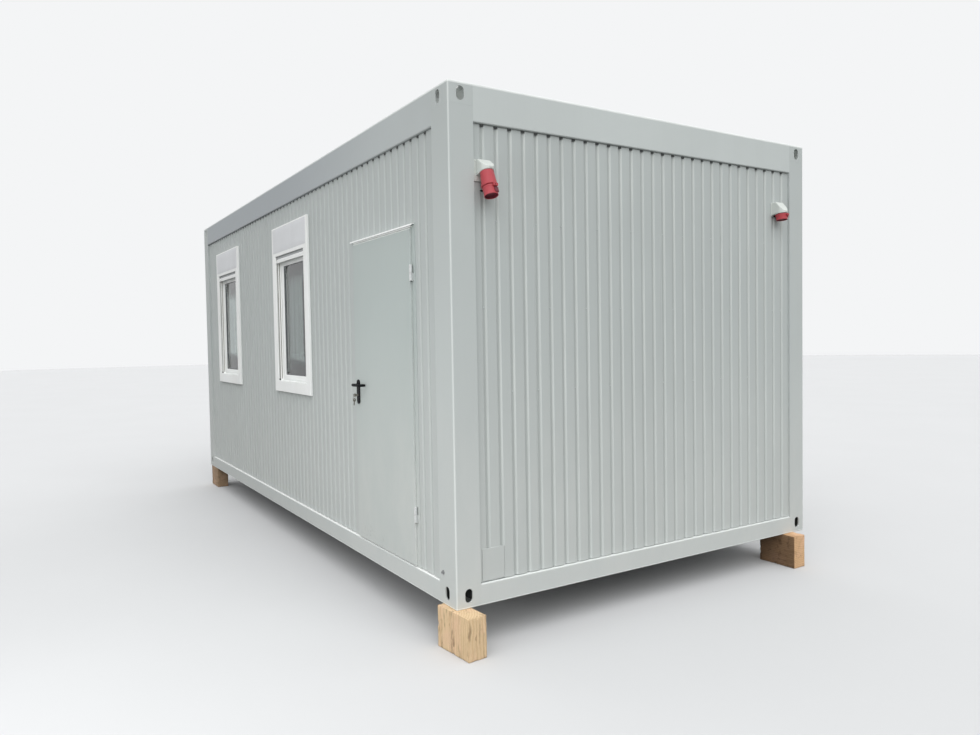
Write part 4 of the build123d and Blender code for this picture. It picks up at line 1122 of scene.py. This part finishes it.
# lock cylinder through the leaf, a key with a holed bow in it, and a ring with a second key
keys = {
    "z": 1.337,
    "bowRadius": 0.0118,
    "bowAt": 0.0300,
    "bladeTo": 0.0100,
    "eyeRadius": 0.0034,
    "thickness": 0.0026,
    "ringRadius": 0.013,
    "ringWire": 0.0012,
    "ringAt": 0.0360,
    "lean": math.radians(6),
}


# flat ring of one thickness between an outline, softened at its rims, and a hole
def holedPlate(outline, hole, thickness):
    half, soft = thickness / 2, 0.25 * thickness
    inner = outline.mean(0) + (outline - outline.mean(0)) * 0.96
    lines = inner, outline, outline, inner, hole, hole
    levels = -half, -half + soft, half - soft, half, half, -half
    rings = [np.column_stack([line, np.full(len(line), level)]) for line, level in zip(lines, levels)]
    return loft(np.stack(rings), True)


# key in the plane of out and up: bow as a circle slightly flattened, blade as a bar with sine notches
def keyParts(axes, bowAt, bladeTo):
    bow = circle(keys["bowRadius"], 40) * (1, 0.92) + (bowAt, 0)
    eye = circle(keys["eyeRadius"], 40) + (bowAt + 0.0045, 0)
    places = np.linspace(bladeTo, bowAt - keys["bowRadius"] * 0.9, 25)
    top = 0.0036 - 0.0012 * np.sin(np.linspace(0, 9, 25)) ** 2
    blade = np.vstack([np.column_stack([places, np.full(25, -0.0036)]), np.column_stack([places, top])[::-1]])
    half = keys["thickness"] * 0.42
    return [moved(part, axes) for part in (holedPlate(bow, eye, keys["thickness"]), pushed(blade, -half, half))]


barrel = [(4, 10.8), (4.6, 11.6), (7.8, 11.6), (8.3, 11), (8.3, -56), (7.8, -56.6)]
lockAxes = leafAxes(-cabin["faceY"], keys["z"], -1)
lockParts = [moved(lathed(barrel, 40, (0.3, 3)), lockAxes)]
lockParts += keyParts((lockAxes[0], -alongY, upward, alongX), keys["bowAt"], keys["bladeTo"])
ringPath = circle(keys["ringRadius"], 48) - (0, keys["ringRadius"])
ringPath = inAxes(np.column_stack([ringPath, np.full(48, keys["ringAt"])]), lockAxes)
lockParts.append(carried(circle(keys["ringWire"], 12), ringPath, -alongY, True))
hang = shifted(lockAxes, 0.0015, -2 * keys["ringRadius"] - 0.0075, keys["ringAt"])[0]
below = np.array([0, -math.sin(keys["lean"]), -math.cos(keys["lean"])])
lockParts += keyParts((hang, -below, np.cross(below, alongX), alongX), 0.0, -0.0355)
makePiece("lockAndKeys", lockParts, "keyMetal", 40, "lock_and_keys", body="door")
print("handle, lock and keys made")

# place on the end wall, level, tilt in degrees, reach out of the wall and radius, then the width, drop
# and rise of the hood's plate, and how far out its top stays flat
socketKeys = ("place", "level", "tilt", "reach", "radius", "plate", "flat")
sockets = {
    "Inlet": (0.215, 2.603, 17.5, 0.036, 0.0375, (0.108, 0.045, 0.073), 0.004),
    "Outlet": (2.689, 2.560, 6.0, 0.040, 0.038, (0.092, 0.014, 0.084), 0.022),
}
sockets = {name: dict(zip(socketKeys, values)) for name, values in sockets.items()}
rightAxes = wallAxes("right")


# axes of a socket: along the wall, outwards, and down its own tilted axis
def socketAxes(given):
    lean = math.radians(given["tilt"])
    origin = np.array([cabin["faceX"] + given["reach"], -cabin["faceY"] + given["place"], given["level"]])
    down = np.array([math.sin(lean), 0, -math.cos(lean)])
    return origin, alongY, np.cross(down, alongY), down


# hood: a U seen from above, its lower rim square to the socket's axis and its top sloping to the nose
def hoodParts(given):
    level, reach, slope = given["level"], given["reach"], math.tan(math.radians(given["tilt"]))
    outer, wallAt = given["radius"] + 0.003, -skin + 0.001
    angle = np.linspace(0, np.pi, 41)
    nose = np.stack([reach + outer * np.sin(angle), outer * np.cos(angle)], -1)
    outline = evenly(np.vstack([nose, [(wallAt, -outer), (wallAt, outer)]]), 120)
    width, drop, rise = given["plate"]

    def lowLevel(points):
        return level + (points[..., 0] - reach) * slope

    def highLevel(points):
        fall = (points[..., 0] - given["flat"]) / (reach + outer - given["flat"])
        return level + rise + (outer * slope + 0.014 - rise) * np.clip(fall, 0, 1)

    hoodAxes = (np.array([cabin["faceX"], -cabin["faceY"] + given["place"], 0]), alongX, alongY, upward)
    box = (-width / 2, width / 2, level - drop, level + rise)
    plate = pad(box, (0.006, 6), 96, -skin, -skin + 0.006, 0.0016, 3)
    screw = [(3.4, -0.5), (3.4, 0.6), (2.6, 1.4), (1.2, 1.6), (0.9, 0.9)]
    parts = [moved(loft(pillow(outline, lowLevel, highLevel, 0.004, 5, 6, 8)), hoodAxes)]
    parts.append(moved(plate, shifted(rightAxes, given["place"], 0, 0)))
    for side in (-1, 1):
        place = given["place"] + side * (width / 2 - 0.008)
        parts.append(moved(lathed(screw, 18), shifted(rightAxes, place, level + rise - 0.010, -0.0092)))
    return parts


for name, given in sockets.items():
    node = "power_" + name.lower() + "_hood"
    makePiece("power" + name + "Hood", hoodParts(given), "socketWhite", 30, node)


# grip ribs: 1 + amount cos(number angle)^2 on the radius between two distances, where the cosine is above 0
def ribs(low, high, number=36, amount=0.008):
    def swell(angle, distance):
        return 1 + ((distance > low) & (distance < high)) * amount * np.maximum(0, np.cos(number * angle)) ** 2

    return swell


# axes standing on a socket at one angle and distance: across, along the socket, and outwards
def standAxes(axes, degrees, radius, distance):
    angle = math.radians(degrees)
    outwards = math.cos(angle) * axes[1] + math.sin(angle) * axes[2]
    return axes[0] + axes[3] * distance + outwards * radius, np.cross(axes[3], outwards), axes[3], outwards


# holed ear that holds a lid shut
def latchEar(axes, degrees, radius, distance, size):
    ear = np.roll(evenly(rounded(rectangle(-size / 2, size / 2, -0.0085, 0.0085), 0.004, 5), 60), -12, 0)
    ear = np.roll(ear, -int(np.argmax(ear[:, 0])), 0)
    eye = circle(0.0042, 60, (size * 0.12, 0.0005))
    return moved(holedPlate(ear, eye, 0.010), standAxes(axes, degrees, radius + 0.0045, distance))


# catch on the side of a lid: a rounded block from one distance to another along the socket
def latchCatch(axes, degrees, radius, low, high, width):
    catch = pad((-width / 2, width / 2, 0, high - low), (0.0035, 5), 72, -0.008, 0.0055, 0.0022, 4)
    return moved(catch, standAxes(axes, degrees, radius, low))


# spring hinge on the wall side: a pin through two knuckles, a coil round it and its leg down the lid
def hingeSpring(axes, radius, distance, width):
    end = width * 1000
    pin = [(2, -2), (4, -2), (4, 0), (2.2, 0.5), (2.2, end - 0.5), (4, end), (4, end + 2), (2, end + 2)]
    parts = [lathed(pin, 18, (0.4, 3))]
    for low, high in ((0.003, 0.013), (width - 0.013, width - 0.003)):
        turns = np.linspace(0, 2 * np.pi * 5, 150)
        coil = np.stack([0.0044 * np.cos(turns), 0.0044 * np.sin(turns), np.linspace(low, high, 150)], -1)
        leg = np.stack([np.linspace(0.0044, 0.0075, 6), np.linspace(0.006, 0.030, 6), np.full(6, high)], -1)
        parts.append(carried(circle(0.0010, 8), np.vstack([coil, leg]), upward))
    pinAxes = (np.array([-width / 2, -radius, distance]), alongY, upward, alongX)
    return [moved(moved(part, pinAxes), axes) for part in parts]


# red knuckles that carry the hinge pin on a body
def hingeKnuckles(axes, radius, distance):
    inner = (np.array([0, -radius, distance]), alongY, upward, alongX)
    box, ends = (-0.0052, 0.0052, -0.0060, 0.0060), ((-0.019, -0.011), (0.011, 0.019))
    knuckles = [pad(box, (0.0035, 5), 40, low, high, 0.001, 2) for low, high in ends]
    return [moved(moved(knuckle, inner), axes) for knuckle in knuckles]


# grooves round the sleeve, and a raised key along its outer side: a narrow bell over the angle
def sleeveSwell(angle, distance):
    bell = np.exp(-(((angle - np.pi / 2) / 0.13) ** 4))
    grooves = 0.006 * np.cos(angle * 24) * ((distance > 0.016) & (distance < 0.060))
    return 1 + 0.045 * bell * (distance > 0.004) + grooves * (1 - bell) * 0.5


# inlet: a sleeve with its collar, and a lid with a rolled rim at each end, open below
sleeve = [(34.5, -2), (37.8, 0), (38.8, 12), (43, 74.5), (43, 76)]
collar = [(42.8, 75.6), (45, 76.4), (45.5, 78), (45.5, 85), (44.6, 86.5), (39.2, 86.8), (37.6, 88.5)]
collar += [(37.6, 91)]
body = np.vstack([rounded(sleeve, 1, 4, False), rounded(collar, 0.8, 4, False)])
lid = [(35.5, 90), (40, 90.2), (40.6, 91.6), (40.6, 98.5), (39.4, 100), (37.8, 127), (39.2, 129), (39.8, 140)]
lid += [(39.2, 142.8), (36.6, 143), (36.4, 125), (4, 124.8)]
lining = [(4, 125.2), (36.3, 125.4), (36.3, 140.5), (35.2, 140), (34.8, 127.5), (4, 127)]
axes = socketAxes(sockets["Inlet"])
parts = [lathed(body, 144, None, sleeveSwell), lathed(lid, 144, (1.2, 4), ribs(0.102, 0.124))]
parts = [moved(part, axes) for part in parts]
parts += [latchEar(axes, 80, 0.0425, 0.0965, 0.030)] + hingeKnuckles(axes, 0.0425, 0.0885)
makePiece("powerInletBody", parts, "socketRed", 40, "power_inlet_body")
makePiece("powerInletLidFace", [lathed(lining, 96, (0.6, 4))], "darkRed", 40, axes=axes)
# the catch is dark red as painted shade on the lid's shaded side
makePiece("powerInletCatch", [latchCatch(axes, 66, 0.0385, 0.1050, 0.1340, 0.030)], "darkRed", 40)
makePiece("powerInletHinge", hingeSpring(axes, 0.0470, 0.0900, 0.062), "blackPlastic", 40)

# outlet: its lid closes right under the hood
throat = [(35, -2), (37.6, -1), (37.6, 4.2), (36, 5)]
lid = [(35.5, 4.2), (39.6, 4.4), (40.2, 5.6), (40.2, 12.5), (39.2, 13.8), (38, 35), (38.6, 36.5), (38.8, 43)]
lid += [(38, 45), (36.2, 45.2), (36, 34.5), (4, 34.3)]
lining = [(4, 34.7), (35.9, 34.9), (35.9, 43.5), (35, 43), (34.6, 36.8), (4, 36.3)]
axes = socketAxes(sockets["Outlet"])
parts = [moved(lathed(lid, 144, (1, 4), ribs(0.016, 0.033)), axes), latchEar(axes, 72, 0.0402, 0.0130, 0.024)]
parts += [latchCatch(axes, 60, 0.0385, 0.0200, 0.0330, 0.014)] + hingeKnuckles(axes, 0.0405, 0.0075)
makePiece("powerOutletBody", parts, "socketRed", 40, "power_outlet_body")
parts = [lathed(throat, 96, (0.6, 3)), lathed(lining, 96, (0.5, 4))]
makePiece("powerOutletThroat", parts, "darkRed", 40, axes=axes)
makePiece("powerOutletHinge", hingeSpring(axes, 0.0445, 0.0090, 0.056), "blackPlastic", 40)
print("power inlet and outlet made")

# earthing bolt on the front post, with its washer and the end of its stud, their sizes in millimetres
bolt = {"along": 0.145, "level": 0.410, "acrossFlats": 19, "head": 7.5, "washer": 13}
boltAxes = (np.array([cabin["faceX"] - bolt["along"], -cabin["faceY"], bolt["level"]]), alongX, upward, -alongY)


# six-sided radius: flats over the cosine of the angle to the nearest flat's middle
def sixSided(angle, distance):
    return 1 / np.cos(np.mod(angle, np.pi / 3) - np.pi / 6) + 0 * distance


flats = bolt["acrossFlats"] / 2
washer = [(6, -0.5), (bolt["washer"], -0.5), (bolt["washer"], 1.8), (6, 1.8)]
head = [(flats, 1.7), (flats, bolt["head"] - 1), (flats * 0.9, bolt["head"])]
stud = [(5.5, 4), (5.5, 12.5), (4.5, 13.7)]
boltParts = [lathed(washer, 40, (0.5, 3)), lathed(head, 48, None, sixSided), lathed(stud, 32, (0.3, 3))]
makePiece("earthingBolt", boltParts, "boltZinc", 25, axes=boltAxes)
print("earthing bolt made")

blocks = {
    "length": 0.300,
    "thickness": 0.122,
    "height": 0.232,
    # piece and solid, place, turn in degrees, look and seed
    "places": [
        ("timberFrontRight", "timber_block_front_right", 3.017, -1.4595, 4.5, "standing", 11),
        ("timberBackRight", "timber_block_back_right", 2.973, 1.3195, 0.0, "lying", 12),
        ("timberBackLeft", "timber_block_back_left", -3.017, 1.4595, 4.5, "standing", 13),
        ("timberFrontLeft", "timber_block_front_left", -2.879, -1.4235, 0.0, "dark", 14),
    ],
    # early wood, late wood, stain, ring scale, ring strength and smears
    "looks": {
        "standing": ((216, 190, 152), (182, 146, 106), (118, 98, 74), 22.0, 0.34, 0.60),
        "lying": ((212, 174, 134), (168, 126, 86), (124, 94, 64), 24.0, 0.40, 0.35),
        "dark": ((156, 132, 106), (122, 98, 74), (84, 68, 52), 24.0, 0.40, 0.35),  # lying, darkened as painted shade
    },
}


# sawn timber with its heart set beside the block and its fibres turned to one of the axes
def timberLook(name, look, x, y):
    *tones, ringScale, ringStrength, smears = blocks["looks"][look]
    values = dict(zip(("Early Wood", "Late Wood", "Stain"), (tone(*colour) for colour in tones)))
    values.update({"Ring Scale": ringScale, "Ring Strength": ringStrength, "Smear Strength": smears})
    mapping = {"Location": (-x + 0.05, -y + 0.19, 0.0), "Rotation": (0, 0, 0)}
    if look != "standing":
        mapping = {"Location": (0.10, -y + 0.02, x), **turnedOver}
    finish(name, "sawnWood", values, (0.7, 0.0009), None, mapping, (), {"rim": "Rim", "shadedFace": "Shaded Face"})


# sawn block: a rounded outline lifted with soft rims, pressed in by slow unevenness and a few dents
def timberBlock(name, node, x, y, angle, look, seed):
    half = np.array([blocks["length"], blocks["thickness"], blocks["height"]]) / 2
    outline = evenly(rounded(rectangle(-half[0], half[0], -half[1], half[1]), 0.005, 6), 260)
    vertices, faces = loft(pillow(outline, 0.0, blocks["height"], 0.0032, 4, 40, 14))
    middle = half * (0, 0, 1)
    fromMiddle = np.sort(np.abs(vertices - middle) / half, axis=1)
    rim = np.clip((fromMiddle[:, 1] - 0.93) / 0.07, 0, 1)
    # the face that looks in under the cabin gets painted shade
    sheltered = (look != "standing") * -np.sign(y) * vertices[:, 1] / half[1]
    shadedFace = np.clip((sheltered - 0.93) / 0.07, 0, 1)
    press = 0.0006 * (1 + ripple(vertices, seed, 0.035))
    press = press + 0.0012 * rim * (1 + ripple(vertices, seed + 50, 0.012))
    source = np.random.default_rng(seed)
    corners = source.choice([-1, 1], (7, 3)) * half
    slide = source.uniform(-0.8, 0.8, (7, 3)) * half
    dents = np.where(np.arange(3) == source.integers(0, 3, 7)[:, None], slide, corners) + middle
    distance = np.linalg.norm(vertices[:, None] - dents, axis=2)
    press = press + (0.004 * np.exp(-((distance / 0.011) ** 2))).sum(1)
    direction = (middle - vertices) / half**2 * (1, 1, 0.6)
    direction /= np.linalg.norm(direction, axis=1, keepdims=True)
    vertices = vertices + direction * np.clip(press, 0, 0.006)[:, None]
    vertices[:, 2] = np.clip(vertices[:, 2], 0, blocks["height"])
    turn = np.array(Matrix.Rotation(math.radians(angle), 3, "Z"))
    timberLook(name + "Wood", look, x, y)
    layers = {"rim": rim, "shadedFace": shadedFace}
    axes = (np.array([x, y, 0]), *turn.T)
    makePiece(name, [(vertices, faces)], name + "Wood", 40, node, axes, layers=layers)


for place in blocks["places"]:
    timberBlock(*place)
print("timber blocks sawn")

stageLook = {
    "floorTone": tone(198, 199, 200),
    "floorBounce": tone(128, 128, 126),
    "background": tone(244, 245, 246),
    "skyStrength": 0.38,
    "floorRings": [0.5, 3, 8, 20, 60.0],
}


# plain object of the set, linked to the scene
def addObject(name, data):
    made = bpy.data.objects.new(name, data)
    bpy.context.scene.collection.objects.link(made)
    return made


# flat floor: rings of growing radius at height 0, closed by a fan in the middle
radii = stageLook["floorRings"]
rings = np.stack([np.column_stack([circle(radius, 96), np.zeros(96)]) for radius in radii])
floorVertices = np.vstack([rings.reshape(-1, 3), [(0, 0, 0)]])
ring, place = np.arange(len(radii) - 1)[:, None] * 96, np.arange(96)
following = (place + 1) % 96
floorQuads = [ring + place, ring + 96 + place, ring + 96 + following, ring + following]
floorQuads = np.stack(floorQuads, -1).reshape(-1, 4)
floorFan = np.stack([place, following, np.full(96, len(radii) * 96)], -1)
floorMesh = bpy.data.meshes.new("studioFloor")
floorMesh.from_pydata(floorVertices.tolist(), [], floorQuads.tolist() + floorFan.tolist())
addObject("studioFloor", floorMesh)
shading, vector = newLook("paleFloor")
colour = mixColour(seenRays(vector.id_data), stageLook["floorBounce"], stageLook["floorTone"])
colour = shaded(colour, ranged(noise(vector, 0.6, 5), 0.3, 0.7, 0.985, 1.0))
give(shading, {"Base Color": colour, "Roughness": 0.9, "Specular IOR Level": 0.1})
floorMesh.materials.append(looks["paleFloor"])

world = bpy.data.worlds.new("studioSky")
bpy.context.scene.world = world
world.use_nodes = True
dim = stageLook["skyStrength"]
strength = plus(times(seenRays(world.node_tree), 1 - dim), dim)
give(world.node_tree.nodes["Background"].inputs, {"Color": stageLook["background"], "Strength": strength})


# lamp that shines one way and isn't seen itself
def addLamp(name, kind, way, **settings):
    lamp = bpy.data.lights.new(name, kind)
    for key, value in settings.items():
        setattr(lamp, key, value)
    holder = addObject(name, lamp)
    holder.rotation_euler = Vector(way).to_track_quat("-Z", "Y").to_euler()
    holder.visible_camera = holder.visible_glossy = False
    return holder


# suns: the way they shine, the angle they fill and their power
suns = {
    "overhead": ((-0.20, 0.20, -1.0), 110, 1.5),
    "frontAndEnd": ((-0.66, 0.21, -0.68), 70, 2.2),
    "behind": ((0.70, -0.62, -0.40), 120, 1.1),
}
for name, (way, angle, power) in suns.items():
    addLamp(name, "SUN", way, energy=power, angle=math.radians(angle))

# broad soft box by the near corner, low down, so that the long front falls away towards its far end,
# and narrow enough to leave the floor under it alone
softBox = {"at": (3.4, -5.2, 1.3), "towards": (2.6, -1.5, 1.2), "size": (2.4, 1.0), "power": 22, "spread": 110}
size = {"shape": "RECTANGLE", "size": softBox["size"][0], "size_y": softBox["size"][1]}
way = Vector(softBox["towards"]) - Vector(softBox["at"])
spread = math.radians(softBox["spread"])
addLamp("nearCorner", "AREA", way, **size, energy=softBox["power"], spread=spread).location = softBox["at"]

view = {
    "at": (6.5528, -3.4681, 1.6991),
    "turn": (1.46489992, 0.7943258, -0.78892525),
    "focal": 755.6,
    "width": 980,
    "sensor": 36.0,
}
cameraData = bpy.data.cameras.new("photoCamera")
cameraData.sensor_width = view["sensor"]
cameraData.lens = view["focal"] * view["sensor"] / view["width"]
camera = addObject("photoCamera", cameraData)
turn = Vector(view["turn"])
facing = Matrix.Rotation(turn.length, 3, turn.normalized()).transposed() @ Matrix.Diagonal((1, -1, -1))
camera.matrix_world = Matrix.Translation(Vector(view["at"])) @ facing.to_4x4()
bpy.context.scene.camera = camera
bpy.context.scene.view_settings.view_transform = "Standard"
print("floor, light and camera set")
